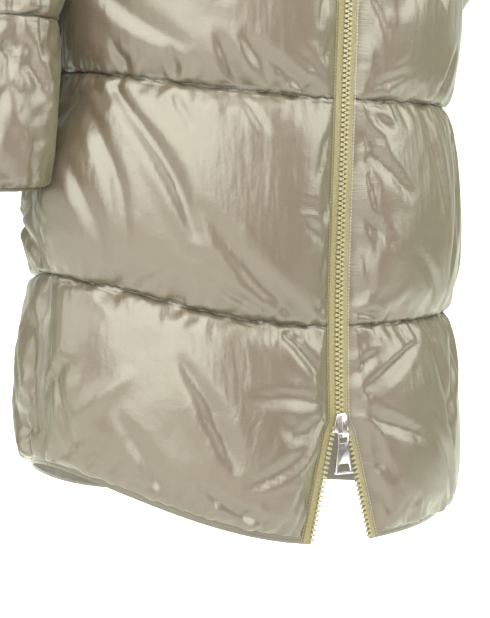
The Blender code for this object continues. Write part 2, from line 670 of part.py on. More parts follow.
def add_slider(name, level, wide_end):
    """A slider's body. Its wide end points down (-1) or up (1), to where the chains part."""
    half = SLIDER_LENGTH / 2
    outline = (
        (-SLIDER_THROAT / 2, half),
        (-SLIDER_SHOULDER / 2, SLIDER_WAIST),
        (-SLIDER_SHOULDER / 2, -half + SLIDER_CORNER_UP),
        (-SLIDER_SHOULDER / 2 + SLIDER_CORNER_IN, -half),
        (SLIDER_SHOULDER / 2 - SLIDER_CORNER_IN, -half),
        (SLIDER_SHOULDER / 2, -half + SLIDER_CORNER_UP),
        (SLIDER_SHOULDER / 2, SLIDER_WAIST),
        (SLIDER_THROAT / 2, half),
    )
    outline = [(across, -wide_end * up) for across, up in outline]
    slider = prism(name, outline, SLIDER_FRONT, SLIDER_FRONT + SLIDER_PLATE)
    back = prism(name + "_back", outline, SLIDER_BACK - SLIDER_PLATE, SLIDER_BACK)
    deep, tip = -wide_end * (WEDGE_START - half), -wide_end * (WEDGE_END - half)
    wedge_outline = (
        (-WEDGE_WIDTH / 2, deep),
        (WEDGE_WIDTH / 2, deep),
        (WEDGE_TIP / 2, tip),
        (-WEDGE_TIP / 2, tip),
    )
    wedge = prism(name + "_wedge", wedge_outline, SLIDER_BACK - BITE, SLIDER_FRONT + BITE)
    foot = SLIDER_FRONT + SLIDER_PLATE - BITE
    top = SLIDER_FRONT + SLIDER_PLATE + CROWN_HEIGHT
    bridge = prism(name + "_crown", box_outline(CROWN_WIDTH, CROWN_LOW, CROWN_HIGH), foot, top)
    hollow_outline = box_outline(CROWN_WIDTH * 1.5, CROWN_LOW + CROWN_WALL, CROWN_HIGH - CROWN_WALL)
    hollow = prism(name + "_crown_hollow", hollow_outline, foot + BITE, top - CROWN_WALL)
    combine(bridge, hollow, "DIFFERENCE")
    for piece in (back, wedge, bridge):
        combine(slider, piece, "UNION")
    frame = slider_frame(level)
    place(slider, frame)
    hollow.matrix_world = frame
    return frame


def add_pull(name, frame):
    """The pull tab. Its origin is on the axis it swings about, and it hangs down from there."""
    eye_foot = -EYE_LENGTH
    half_top, half_foot = PULL_TOP_WIDTH / 2, PULL_FOOT_WIDTH / 2
    left_side = (
        (-half_top + PULL_CORNER, PULL_BAR / 2),
        (-half_top, PULL_BAR / 2 - PULL_CORNER),
        (-half_top, eye_foot - PULL_NECK),
        (-half_foot + PULL_CORNER, -PULL_LENGTH + PULL_FLARE),
        (-half_foot, -PULL_LENGTH + FOOT_CORNER_UP),
        (-half_foot + FOOT_CORNER_IN, -PULL_LENGTH),
    )
    right_side = [(-across, up) for across, up in reversed(left_side)]
    outline = [*left_side, *right_side]
    half = PULL_THICKNESS / 2
    pull = prism(name, outline, -half, half)
    eye = prism(name + "_eye", box_outline(EYE_WIDTH, eye_foot, -PULL_BAR / 2), -half * 3, half * 3)
    window_low = -PULL_LENGTH + WINDOW_FOOT
    window_high = window_low + WINDOW_LENGTH
    half_window = WINDOW_TOP_WIDTH / 2
    window_outline = (
        (-WINDOW_FOOT_WIDTH / 2, window_low),
        (WINDOW_FOOT_WIDTH / 2, window_low),
        (half_window, window_high - WINDOW_CORNER_UP),
        (half_window - WINDOW_CORNER_IN, window_high),
        (-half_window + WINDOW_CORNER_IN, window_high),
        (-half_window, window_high - WINDOW_CORNER_UP),
    )
    window = prism(name + "_window", window_outline, -half * 3, half * 3)
    for piece in (eye, window):
        combine(pull, piece, "DIFFERENCE")
    place(pull, frame @ Matrix.Translation((0.0, -HINGE_OUT, HINGE_UP)))


def main():
    clear_scene()
    add_body()
    add_collar()
    add_sleeve("sleeve_right", -1, RIGHT_ARM)
    add_sleeve("sleeve_left", 1, LEFT_ARM)
    add_pocket_bag("pocket_bag_right", -1)
    add_pocket_bag("pocket_bag_left", 1)
    add_zip_tape("zip_tape_right", -1)
    add_zip_tape("zip_tape_left", 1)
    lower_level = level_at(SECTIONS[HEM].front + LOWER_SLIDER_HEIGHT - SLIDER_SEAT)
    lower = add_slider("slider_lower", lower_level, wide_end=-1)
    add_pull("pull_lower", lower)
    upper_level = level_at(SECTIONS[COLLAR_TOP].front - UPPER_SLIDER_DROP + SLIDER_SEAT)
    upper = add_slider("slider_upper", upper_level, wide_end=1)
    add_pull("pull_upper", upper)


main()
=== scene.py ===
# %% [markdown]
# # A long padded jacket
# The jacket is worn, open at the hem and empty inside. Its fronts, back, collar and sleeves are two
# layers of thin nylon with soft filling between them, sewn together along widely spaced lines. The
# filling swells between those lines, and the cloth gathers beside them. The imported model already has
# every piece at its right place and size, so this script loads it first and dresses it: simulated
# cloth for the padded pieces, single teeth for the zip, thread, metal and light.

# %% Load the frame
import math

import bmesh
import bpy
import numpy as np
from mathutils import Matrix, Vector


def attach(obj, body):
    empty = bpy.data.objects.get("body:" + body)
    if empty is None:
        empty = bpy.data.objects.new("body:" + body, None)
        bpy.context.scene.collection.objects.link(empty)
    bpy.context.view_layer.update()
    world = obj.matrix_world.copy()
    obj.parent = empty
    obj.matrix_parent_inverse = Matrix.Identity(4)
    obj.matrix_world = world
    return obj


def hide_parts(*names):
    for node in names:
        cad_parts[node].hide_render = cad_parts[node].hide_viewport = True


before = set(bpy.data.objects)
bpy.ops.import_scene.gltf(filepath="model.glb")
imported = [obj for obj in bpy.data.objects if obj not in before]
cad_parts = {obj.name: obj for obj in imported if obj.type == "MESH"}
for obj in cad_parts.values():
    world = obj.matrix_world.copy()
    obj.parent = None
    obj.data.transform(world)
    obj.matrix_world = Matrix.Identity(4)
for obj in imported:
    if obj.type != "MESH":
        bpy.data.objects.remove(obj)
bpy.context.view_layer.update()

# %% [markdown]
# ## Colours and nodes
# Colours are written as the hex values that a colour picker shows. Blender's shaders count in linear
# light, so one function turns the first into the second. A second one adds a node, sets its values
# and joins its links. The short ones after it use it for what comes back in most materials: noise,
# bands, sums, a bump and a mix of two shades.

# %% Helpers for materials
BANDS_PER_METRE = 3.18  # what a wave texture of scale 1 draws


def colour(hex_value):
    """A linear colour with alpha from an sRGB hex value such as "#8e7f6c"."""
    channels = [int(hex_value[i : i + 2], 16) / 255 for i in (1, 3, 5)]
    return (*[c / 12.92 if c <= 0.04045 else ((c + 0.055) / 1.055) ** 2.4 for c in channels], 1.0)


def feed(tree, node, values):
    """Each value is a number or a colour for one input, or the socket that feeds it."""
    for name, value in dict(values).items():
        socket = node.inputs[name]
        if isinstance(value, bpy.types.NodeSocket):
            tree.links.new(value, socket)
        else:
            socket.default_value = value


def add_node(tree, kind, values=(), **settings):
    """Adds a node with its settings, and feeds its inputs."""
    node = tree.nodes.new(kind)
    for name, setting in settings.items():
        setattr(node, name, setting)
    feed(tree, node, values)
    return node


def new_material(name):
    """An empty node material, with its tree and its Principled shader."""
    made = bpy.data.materials.new(name)
    made.use_nodes = True
    tree = made.node_tree
    return made, tree, tree.nodes["Principled BSDF"]


def cloth_map(tree):
    """Places along the cloth, in metres."""
    return add_node(tree, "ShaderNodeUVMap", uv_map="cloth").outputs["UV"]


def own_place(tree):
    """Places in the object's own coordinates, in metres."""
    return add_node(tree, "ShaderNodeTexCoord").outputs["Object"]


def add_noise(tree, vector, scale, detail, roughness=0.5):
    values = {"Vector": vector, "Scale": scale, "Detail": detail, "Roughness": roughness}
    return add_node(tree, "ShaderNodeTexNoise", values).outputs["Fac"]


def add_bands(tree, vector, pitch, direction, values=()):
    """Parallel bands that lie this many metres apart."""
    values = {"Vector": vector, "Scale": 1 / (pitch * BANDS_PER_METRE), **dict(values)}
    return add_node(tree, "ShaderNodeTexWave", values, bands_direction=direction).outputs["Fac"]


def calculate(tree, operation, *values, clamp=False):
    settings = {"operation": operation, "use_clamp": clamp}
    return add_node(tree, "ShaderNodeMath", dict(enumerate(values)), **settings).outputs["Value"]


def remap(tree, value, start, end, low=0.0, high=1.0, kind="LINEAR"):
    """Stretches the range from start to end so that it runs from low to high."""
    values = {"Value": value, "From Min": start, "From Max": end, "To Min": low, "To Max": high}
    return add_node(tree, "ShaderNodeMapRange", values, interpolation_type=kind).outputs["Result"]


def mix_shades(tree, factor, first, second):
    """A shade between two, each a hex value or the socket of a colour."""
    first, second = (colour(end) if isinstance(end, str) else end for end in (first, second))
    values = {"Factor": factor, 6: first, 7: second}  # inputs 6 and 7 are the two colours
    return add_node(tree, "ShaderNodeMix", values, data_type="RGBA").outputs[2]


def add_bump(tree, height, distance, strength, under=None):
    """A bump, on top of another one where there is one."""
    values = {"Height": height, "Distance": distance, "Strength": strength}
    if under:
        values["Normal"] = under
    return add_node(tree, "ShaderNodeBump", values).outputs["Normal"]


def grain_finish(tree, shader, grain, shades, distance, strength, values):
    """A finish whose grain changes its shade and stands out as a fine bump."""
    feed(tree, shader, {"Base Color": mix_shades(tree, grain, *shades),
                        "Normal": add_bump(tree, grain, distance, strength), **values})


# %% Helpers for objects


def to_mesh(name, build):
    """The finished bmesh as a mesh; the bmesh itself is freed."""
    mesh = bpy.data.meshes.new(name)
    build.to_mesh(mesh)
    build.free()
    return mesh


def link_object(name, data):
    """A new object in the scene from a mesh, a lamp or a camera."""
    made = bpy.data.objects.new(name, data)
    bpy.context.scene.collection.objects.link(made)
    return made


def add_object(name, build, finish, smooth=True):
    """An object of one finish from a finished bmesh."""
    bmesh.ops.recalc_face_normals(build, faces=build.faces)
    for face in build.faces:
        face.smooth = smooth
    made = link_object(name, to_mesh(name, build))
    made.data.materials.append(finish)
    return made


# %% [markdown]
# ## The figure under the cloth
# The plain inside of the jacket is a smooth surface through ten rings, from the hem to the top of the
# collar. Each ring says how high it lies at the front, the sides and the back, and how wide and deep
# it is. A point on the surface is named by a level (0 at the hem, 9 at the collar's top) and an angle
# (0 at the centre front, growing towards the wearer's left), which is how a tailor would lay out a
# pattern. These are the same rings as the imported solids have, so new cloth lies where the solids do.

# %% The rings, and points on them
SECTIONS = (  # heights at the front, left, right and back; half width; depth in front and behind
    (-0.868, -0.858, -0.801, -0.862, 0.220, 0.159, 0.158),  # hem
    (-0.666, -0.662, -0.623, -0.661, 0.214, 0.146, 0.148),  # lowest quilting line
    (-0.457, -0.460, -0.438, -0.452, 0.206, 0.148, 0.142),
    (-0.250, -0.250, -0.246, -0.245, 0.202, 0.150, 0.138),  # underarm
    (-0.158, -0.150, -0.150, -0.142, 0.202, 0.141, 0.142),
    (-0.098, -0.050, -0.050, -0.096, 0.201, 0.116, 0.126),  # shoulder tips
    (-0.080, -0.024, -0.024, -0.034, 0.142, 0.100, 0.100),
    (-0.064, 0.000, 0.000, 0.014, 0.088, 0.084, 0.074),  # neck
    (-0.024, 0.038, 0.038, 0.054, 0.084, 0.087, 0.069),
    (0.016, 0.076, 0.076, 0.094, 0.082, 0.090, 0.066),  # collar's top
)
HEM, LINE_1, LINE_2, UNDERARM, SHOULDER, NECK, COLLAR_TOP = 0, 1, 2, 3, 5, 7, 9
HEM_HEIGHT = SECTIONS[HEM][0]
ARMHOLE_REACH = math.radians(37)  # the armhole's half width
CLOTH_WALL = 0.004  # the least wall between the seams
SEAM_WALL = 0.0015  # where a seam presses the filling flat
SEAM_GAP = 0.0004  # between a sleeve and its armhole
NORMAL_STEP = 0.002  # in levels and in radians


def unit(vectors):
    """The vectors at length 1."""
    return vectors / np.maximum(np.linalg.norm(vectors, axis=-1, keepdims=True), 1e-12)


def smoothstep(x):
    """A soft step from 0 at 0 to 1 at 1."""
    x = np.clip(x, 0.0, 1.0)
    return x * x * (3.0 - 2.0 * x)


def through(points, at):
    """The smooth curve through a list of points, read at the positions at, counted in points."""
    at = np.asarray(at, float)
    points = np.asarray(points, float)
    last = len(points) - 1
    low = np.clip(np.floor(at).astype(int), 0, last - 1)
    t = (at - low).reshape(at.shape + (1,) * (points.ndim - 1))
    before = points[np.maximum(low - 1, 0)]
    start, end = points[low], points[low + 1]
    after = points[np.minimum(low + 2, last)]
    leave, arrive = (end - before) / 2, (after - start) / 2
    return (
        start * (2 * t**3 - 3 * t**2 + 1)
        + leave * (t**3 - 2 * t**2 + t)
        + end * (3 * t**2 - 2 * t**3)
        + arrive * (t**3 - t**2)
    )


def body_point(level, angle):
    """A point of the body's plain inside."""
    level, angle = np.broadcast_arrays(np.asarray(level, float), np.asarray(angle, float))
    columns = through(SECTIONS, level)
    front, left, right, back, half_width, front_depth, back_depth = np.moveaxis(columns, -1, 0)
    sine, cosine = np.sin(angle), np.cos(angle)
    middle = np.where(cosine > 0, front, back)
    side = np.where(sine > 0, left, right)
    depth = np.where(cosine > 0, front_depth, back_depth)
    height = middle * cosine**2 + side * sine**2
    return np.stack([half_width * sine, -depth * cosine, height], -1)


def body_normal(level, angle):
    """The way outwards from the body at a point."""
    high = np.minimum(np.asarray(level, float) + NORMAL_STEP, COLLAR_TOP)
    low = np.maximum(np.asarray(level, float) - NORMAL_STEP, HEM)
    round_it = body_point(level, angle + NORMAL_STEP) - body_point(level, angle - NORMAL_STEP)
    up_it = body_point(high, angle) - body_point(low, angle)
    return unit(np.cross(round_it, up_it))


def armhole_angle(level):
    """How far an armhole's edge stands from the side seam, at each level."""
    share = np.clip((np.asarray(level, float) - UNDERARM) / (SHOULDER - UNDERARM), 0.0, 1.0)
    return ARMHOLE_REACH * np.sqrt(np.maximum(1.0 - (2.0 * share - 1.0) ** 2, 0.0))


def level_at(height):
    """The level at which the centre front has this height."""
    levels = np.linspace(HEM, COLLAR_TOP, 2401)
    return np.interp(height, body_point(levels, 0.0)[..., 2], levels)


def angle_at(level, x):
    """The angle at which the surface stands x metres from the middle."""
    return np.arcsin(x / through([section[4] for section in SECTIONS], level))


def along_grid(points, axis):
    """Lengths along the cloth or along a path, from its first point."""
    steps = np.linalg.norm(np.diff(points, axis=axis), axis=-1)
    start = np.zeros_like(np.take(steps, [0], axis=axis))
    return np.concatenate([start, np.cumsum(steps, axis=axis)], axis=axis)


def even_levels(low, high, count, angle):
    """Levels from low to high that stand evenly apart along the cloth at one angle."""
    levels = np.linspace(low, high, 400)
    along = along_grid(body_point(levels, angle), 0)
    return np.interp(np.linspace(0.0, along[-1], count + 1), along, levels)


print("hem to neck", round(float(-HEM_HEIGHT), 3), "m")

# %% [markdown]
# ## Where the zip parts
# The zip has two sliders. The lower one has been pulled up a little way, so that below it the fronts
# fall apart in an upside-down V. One function says how far each chain of teeth stands from the middle
# at any height, and the fronts, the tapes and the teeth all read it, so that they always meet.

# %% The opening of the zip
ZIP_HALF_TAPE = 0.0108  # from the middle of the closed zip to the edge of a front
LOWER_SLIDER_HEIGHT = 0.115  # above the hem
UPPER_SLIDER_DROP = 0.016  # under the collar's top
SLIDER_SPREAD = 0.0056  # how far a slider pushes each chain aside
HEM_SPREAD = 0.033  # how far from the middle each chain hangs at the hem
WEDGE_REACH = 0.012  # the chains part over this height
WEDGE_DROP = 0.008


def zip_opening(height):
    """How far each chain stands from the middle at a height."""
    below = LOWER_SLIDER_HEIGHT + HEM_HEIGHT - height
    wedge = SLIDER_SPREAD * smoothstep(below / WEDGE_REACH)
    spread = (HEM_SPREAD - SLIDER_SPREAD) * np.clip(below - WEDGE_DROP, 0.0, None)
    above = height - (SECTIONS[COLLAR_TOP][0] - UPPER_SLIDER_DROP)
    top_wedge = SLIDER_SPREAD * smoothstep(above / WEDGE_REACH)
    return wedge + spread / (LOWER_SLIDER_HEIGHT - WEDGE_DROP) + top_wedge


def zip_edge(level):
    """The angle at which a front panel starts, beside the tape."""
    height = body_point(level, 0.0)[..., 2]
    return angle_at(level, zip_opening(height) + ZIP_HALF_TAPE)


# %% [markdown]
# ## Padded cloth
# A padded panel starts as a flat grid that is laid over the figure, a few millimetres to a square.
# Its seams are pinned, and between them it is given a first swelling with the beginnings of gathers.
# Blender's cloth then does what the filling does: pressure from inside blows it up, and because the
# cloth is cut a little larger than its place, it crumples beside every pinned seam. The pieces are
# simulated together, because Blender can then work on several at once.

# %% Lay out a grid of cloth
SQUARE = 0.0040  # the side of one square of the cloth grids, in metres
SEAM_WOBBLE = 0.0011  # how far the gathers pull a quilting line up and down
WOBBLE_REACH = 0.005
SEAM_CROWDING = 0.45  # how much closer together the rows stand beside a seam
waiting = []  # the pieces that are waiting to be simulated, each with its slack
quilting = []  # points and normals along every quilting line, for its thread


def soft_noise(across, up, pitch_across, pitch_up, seed):
    """Smooth noise from -1 to 1 over lengths in metres."""
    draw = np.random.default_rng(seed)
    x, y = across / pitch_across, up / pitch_up
    x, y = x - x.min(), y - y.min()
    lattice = draw.uniform(-1.0, 1.0, (int(y.max()) + 2, int(x.max()) + 2))
    i, j = x.astype(int), y.astype(int)
    s, t = smoothstep(x - i), smoothstep(y - j)
    low = lattice[j, i] * (1 - s) + lattice[j, i + 1] * s
    high = lattice[j + 1, i] * (1 - s) + lattice[j + 1, i + 1] * s
    return low * (1 - t) + high * t


def taper(distance, reach):
    """0 at a seam, rising like the side of a cushion to 1 at reach."""
    share = np.clip(distance / reach, 0.0, 1.0)
    return np.sqrt(np.maximum(1.0 - (1.0 - share) ** 2, 0.0))


def crowded(count):
    """Shares from 0 to 1 that stand closer together near both ends."""
    share = np.linspace(0.0, 1.0, count + 1)
    return share - SEAM_CROWDING * np.sin(2 * math.pi * share) / (2 * math.pi)


def cloth_grid(points, across, height, values=()):
    """A grid on the points, with its lengths in metres as its UV map and these values at its points."""
    rows, columns = across.shape
    build = bmesh.new()
    uv_layer = build.loops.layers.uv.new("cloth")
    bmesh.ops.create_grid(
        build, x_segments=columns - 1, y_segments=rows - 1, size=0.5, calc_uvs=False
    )
    layers = build.verts.layers
    kept = []
    for name, value in dict(values).items():
        kind = layers.float if value.ndim == 2 else layers.float_vector
        kept.append((kind.new(name), value))
    place = {}
    for vert in build.verts:
        column, row = (vert.co.x + 0.5) * (columns - 1), (vert.co.y + 0.5) * (rows - 1)
        place[vert] = (round(row), round(column))
    for face in build.faces:
        for loop in face.loops:
            at = place[loop.vert]
            loop[uv_layer].uv = (across[at], height[at])
    for vert, at in place.items():
        for layer, value in kept:
            vert[layer] = value[at]
        vert.co = points[at]
    return build, place


def lay_out(name, inside, normal, puff, pinned, lengths, shares, from_seam, slack, seams=(), sag=0.0):
    """A padded piece as a grid of cloth. The arrays have a row for each line of points up it."""
    across, height = lengths
    from_quilting = np.full(puff.shape, 1.0)
    if len(seams):
        from_quilting = np.abs(height[:, None] - height[list(seams)][None]).min(axis=1)
    outside = inside + normal * np.where(pinned, SEAM_WALL, CLOTH_WALL + puff)[..., None]
    outside[..., 2] -= np.where(pinned, 0.0, sag)
    if len(seams):
        pulled = SEAM_WOBBLE * soft_noise(across, height, 0.005, 0.100, len(waiting) + 80)
        pulled *= np.exp(-((from_quilting / WOBBLE_REACH) ** 2))
        outside[..., 2] += pulled * smoothstep(np.minimum(across, across[:, -1:] - across) / 0.012)
        quilting.extend((outside[row], normal[row]) for row in seams)
    share = [np.broadcast_to(values, puff.shape) for values in (*shares, 0.0)]
    row_height = np.repeat(height.mean(axis=1)[:, None], puff.shape[1], 1)
    build, _ = cloth_grid(outside, across, row_height, {
        "laid": np.stack([across, height, from_quilting], -1),
        "inside": inside,
        "normal": normal,
        "share": np.stack(share, -1),
        "pin": pinned.astype(float),
        "from_seam": from_seam,
    })
    bmesh.ops.remove_doubles(build, verts=build.verts, dist=1e-6)  # this closes a tube
    bmesh.ops.recalc_face_normals(build, faces=build.faces)
    made = link_object(name, to_mesh(name, build))
    waiting.append((made, slack))
    return made


# %% Simulate the waiting pieces together
FRAMES = 16
PRESSURE = 2.5  # inside, in the cloth's own units
SEAM_SLACK = 0.09  # the share by which the cloth is cut larger beside a seam
GATHER_REACH = 0.022  # how far from a seam the gathers run
CAP = 0.011  # no point moves further than this from where it started
OUTWARD_CAP = 0.0035  # and swells no further than this
CAP_SLOPE = 0.40  # and close to a seam no further than this share of its distance
THINNEST = 0.0015  # the two layers never come closer than this


def numbers(mesh, name):
    """One of the mesh's attributes as an array."""
    attribute = mesh.attributes[name]
    width = 1 if attribute.data_type == "FLOAT" else 3
    values = np.zeros(len(attribute.data) * width, np.float32)
    attribute.data.foreach_get("value" if width == 1 else "vector", values)
    return values.astype(float).reshape(-1, width)


def points_of(mesh):
    """The mesh's points as an array."""
    values = np.zeros(len(mesh.vertices) * 3, np.float32)
    mesh.vertices.foreach_get("co", values)
    return values.astype(float).reshape(-1, 3)


def place_points(mesh, points):
    mesh.vertices.foreach_set("co", points.astype(np.float32).ravel())


def add_cloth(thing, slack):
    """Pins the seams and gives the piece its cloth, cut larger near the seams."""
    mesh = thing.data
    seams = thing.vertex_groups.new(name="seams")
    seams.add([int(i) for i in np.flatnonzero(numbers(mesh, "pin")[:, 0] > 0.5)], 1.0, "REPLACE")
    gathers = thing.vertex_groups.new(name="gathers")
    near = np.exp(-((numbers(mesh, "from_seam")[:, 0] / GATHER_REACH) ** 2))
    for tenth in range(1, 11):
        members = np.flatnonzero(np.round(near * 10) == tenth)
        gathers.add([int(i) for i in members], tenth / 10, "REPLACE")
    cloth = thing.modifiers.new("cloth", "CLOTH")
    settings = cloth.settings
    settings.vertex_group_mass = "seams"
    settings.quality = 4
    settings.mass = 0.15
    settings.tension_stiffness = 15
    settings.compression_stiffness = 15
    settings.shear_stiffness = 5
    settings.bending_stiffness = 0.05
    settings.air_damping = 2
    settings.use_pressure = True
    settings.uniform_pressure_force = PRESSURE
    settings.vertex_group_shrink = "gathers"
    settings.shrink_min = -slack
    settings.shrink_max = -SEAM_SLACK
    settings.effector_weights.gravity = 0
    cloth.point_cache.frame_start = 1
    cloth.point_cache.frame_end = FRAMES


def simulate():
    """Runs the cloth of every waiting piece, and leaves each mesh as it came to rest."""
    for thing, slack in waiting:
        add_cloth(thing, slack)
    for step in range(1, FRAMES + 1):
        bpy.context.scene.frame_set(step)
    graph = bpy.context.evaluated_depsgraph_get()
    for thing, _ in waiting:
        mesh = thing.data
        start = points_of(mesh)
        moved = points_of(thing.evaluated_get(graph).to_mesh()) - start
        thing.evaluated_get(graph).to_mesh_clear()
        far = np.linalg.norm(moved, axis=1, keepdims=True)
        reach = np.minimum(CAP, CAP_SLOPE * numbers(mesh, "from_seam"))
        normal = numbers(mesh, "normal")
        moved *= np.minimum(1.0, reach / np.maximum(far, 1e-9))
        outward = (moved * normal).sum(axis=1, keepdims=True)
        placed = start + moved - normal * np.maximum(outward - OUTWARD_CAP, 0.0)
        above = ((placed - numbers(mesh, "inside")) * normal).sum(axis=1, keepdims=True)
        thing.modifiers.clear()
        place_points(mesh, placed + normal * np.maximum(THINNEST - above, 0.0))
        print(thing.name, "moved", round(float(far.max()) * 1000, 1), "mm at most,",
              round(float(far.mean()) * 1000, 1), "mm on average")


# %% [markdown]
# ## The body panels
# Two fronts and a back run from the hem to the neck. Three quilting lines go round them, which makes
# four tall baffles, and the lowest few millimetres are stitched flat as a hem. The rows of the grids
# are placed so that a row lies on each of those lines and can be pinned there.

# %% Rows and quilting lines
BODY_PUFF = 0.016  # how far a baffle's middle stands out over its seams
HEM_MARGIN = 0.006
POCKET_MARGIN = 0.004
ZIP_MARGIN = 0.0027  # the flat edge beside the tape that carries the topstitching
CROWN_SHIFT = 0.84  # below 1 the fullest part of a baffle lies under its middle
CROWN_POWER = 0.56  # the smaller, the blunter the baffle
SAG = 0.0045  # how far a baffle hangs over its lower seam
EDGE_REACH = 0.040  # the swelling grows over this width beside an upright edge
ZIP_REACH = 0.045
POCKET_TOP = -0.460
POCKET_BOTTOM = -0.632
POCKET_LIFT_RIGHT = 0.021
POCKET_LIFT_LEFT = 0.005
POCKET_LIFT_REACH = math.radians(44)
ROW_ANGLE = 0.6  # the rows stand evenly apart along the cloth at this angle


def crown(up):
    """The side view of one baffle, from its lower seam (0) to its upper one (1)."""
    return np.sin(np.pi * np.clip(up, 0.0, 1.0) ** CROWN_SHIFT) ** CROWN_POWER


def body_rows():
    """Every row's level, how far up its baffle it lies, its band, and whether it is pinned."""
    hem_edge = float(level_at(HEM_HEIGHT + HEM_MARGIN))
    seams = (HEM, hem_edge, LINE_1, LINE_2, UNDERARM, NECK)
    bands = tuple(zip(seams[:-1], seams[1:]))
    levels, up, band, pinned = [], [], [], []
    for number, (low, high) in enumerate(bands):
        ends = body_point(np.array([low, high]), ROW_ANGLE)
        count = max(2, round(float(np.linalg.norm(ends[1] - ends[0])) / SQUARE))
        even = even_levels(low, high, count, ROW_ANGLE)
        rows = np.interp(crowded(count), np.linspace(0.0, 1.0, count + 1), even)[:-1]
        levels += list(rows)
        up += list((rows - low) / (high - low) if low > HEM else rows * 0.0)
        band += [number - 1] * len(rows)
        pinned += [True] + [low == HEM] * (len(rows) - 1)
    columns = ((levels, NECK), (up, 1.0), (band, len(bands) - 2), (pinned, True))
    return [np.array(values + [last]) for values, last in columns]


def armhole_levels(steps):
    """Levels from the underarm to the shoulder, closer together at both ends."""
    turns = np.linspace(0.0, math.pi, steps + 1)
    return UNDERARM + (SHOULDER - UNDERARM) * (1.0 - np.cos(turns)) / 2


def armhole_distance(points, side):
    """How far each point is from one armhole's edge."""
    levels = armhole_levels(24)
    reach = armhole_angle(levels)
    angles = np.concatenate([math.pi / 2 - reach, math.pi / 2 + reach]) * side
    edge = body_point(np.concatenate([levels, levels]), angles)
    return np.linalg.norm(points[..., None, :] - edge, axis=-1).min(axis=-1)


def pocket_mouth(height):
    """0 at the ends of the pocket's mouth and 1 halfway up it."""
    share = (height - POCKET_BOTTOM) / (POCKET_TOP - POCKET_BOTTOM)
    return np.sin(np.pi * np.clip(share, 0.0, 1.0))


def pocket_lift(side, angle, height):
    """How far the front stands off the figure beside the pocket's mouth."""
    lift = POCKET_LIFT_LEFT if side > 0 else POCKET_LIFT_RIGHT
    from_seam = (math.pi / 2 - np.abs(angle)) / POCKET_LIFT_REACH
    return lift * pocket_mouth(height) * (1.0 - smoothstep(from_seam))


def overhang(up, puff):
    """How far a baffle hangs down over its lower seam."""
    return SAG * (1.0 - np.clip(up, 0.0, 1.0)) ** 3 * np.clip(puff / BODY_PUFF, 0.0, 1.0)


def start_puff(full, taper_in, across, height, from_seam, seed):
    """The first swelling: smooth, with the beginnings of gathers beside the seams."""
    gather = soft_noise(across + 0.25 * height, height, 0.0065, 0.090, seed)
    slant = soft_noise(across + 0.45 * height, height, 0.013, 0.060, seed + 1)
    dimple = soft_noise(across, height, 0.045, 0.035, seed + 2)
    near = np.exp(-((from_seam / 0.017) ** 2))
    return full * taper_in * (1.0 + near * (0.42 * gather + 0.30 * slant) + 0.08 * dimple)


def seam_distance(points, row_pinned):
    """How far each point is, along the cloth, from the nearest pinned row."""
    height = along_grid(points, 0)
    seams = height[row_pinned]
    return np.abs(height[:, None] - seams[None]).min(axis=1)


print("rows", len(body_rows()[0]))

# %% Lay out the fronts and the back
FRONT_WIDTH = 0.262  # at the hips
BACK_WIDTH = 0.56
FRONT_CROWDING = 0.68  # the columns of a front stand closer together than its rows
PANEL_SLACK = 0.015


def lay_panel(name, rows, share, inside, normal, edge, from_seam, full, fixed, seed):
    """Swells a front or the back between its seams, and lays it out."""
    _, up, band, row_pinned = rows
    across, height = along_grid(inside, 1), along_grid(inside, 0)
    puff = start_puff(full, taper(edge, EDGE_REACH), across, height, from_seam, seed)
    pinned = row_pinned[:, None] | fixed
    pinned[:, 0] = pinned[:, -1] = True
    seams = np.flatnonzero(row_pinned & (band >= 1) & (up == 0.0))
    return lay_out(
        name, inside, normal, puff, pinned, (across, height), (share, (band + up)[:, None]),
        from_seam, PANEL_SLACK, seams, overhang(up[:, None], puff),
    )


def lay_front(name, side):
    """A front, from the zip to the side seam and the armhole."""
    rows = body_rows()
    levels, up, _, row_pinned = rows
    levels = levels[:, None]
    start, end = zip_edge(levels), math.pi / 2 - armhole_angle(levels)
    share = np.linspace(0.0, 1.0, round(FRONT_WIDTH / (SQUARE * FRONT_CROWDING)) + 1)
    angle = (start + share * (end - start)) * side
    inside, normal = body_point(levels, angle), body_normal(levels, angle)
    mouth = pocket_mouth(inside[..., 2])
    inside = inside + normal * pocket_lift(side, angle, inside[..., 2])[..., None]
    from_zip = along_grid(inside, 1)
    to_mouth = from_zip[:, -1:] - from_zip - POCKET_MARGIN * smoothstep(mouth * 3)
    edge = np.minimum(to_mouth, armhole_distance(inside, side))
    from_seam = np.minimum.reduce([seam_distance(inside, row_pinned), from_zip, np.maximum(edge, 0.0)])
    full = BODY_PUFF * crown(up)[:, None] * taper(from_zip - ZIP_MARGIN, ZIP_REACH)
    fixed = edge <= 0.0005
    fixed[:, 1] = True
    return lay_panel(name, rows, share, inside, normal, edge, from_seam, full, fixed, seed=11 + side)


def lay_back(name):
    """The back, from one side seam and armhole to the other."""
    rows = body_rows()
    levels, up, _, row_pinned = rows
    levels = levels[:, None]
    start = math.pi / 2 + armhole_angle(levels)
    share = np.linspace(0.0, 1.0, round(BACK_WIDTH / SQUARE) + 1)
    angle = start + share * (2 * math.pi - 2 * start)
    inside, normal = body_point(levels, angle), body_normal(levels, angle)
    across = along_grid(inside, 1)
    edge = np.minimum(across, across[:, -1:] - across)
    for side in (1, -1):
        edge = np.minimum(edge, armhole_distance(inside, side))
    from_seam = np.minimum(seam_distance(inside, row_pinned), edge)
    full = BODY_PUFF * np.repeat(crown(up)[:, None], len(share), 1)
    fixed = np.zeros(full.shape, bool)
    return lay_panel(name, rows, share, inside, normal, edge, from_seam, full, fixed, seed=31)


front_right = lay_front("front_right_cloth", -1)
front_left = lay_front("front_left_cloth", 1)
back = lay_back("back_cloth")
print("grid points", [len(thing.data.vertices) for thing, _ in waiting])

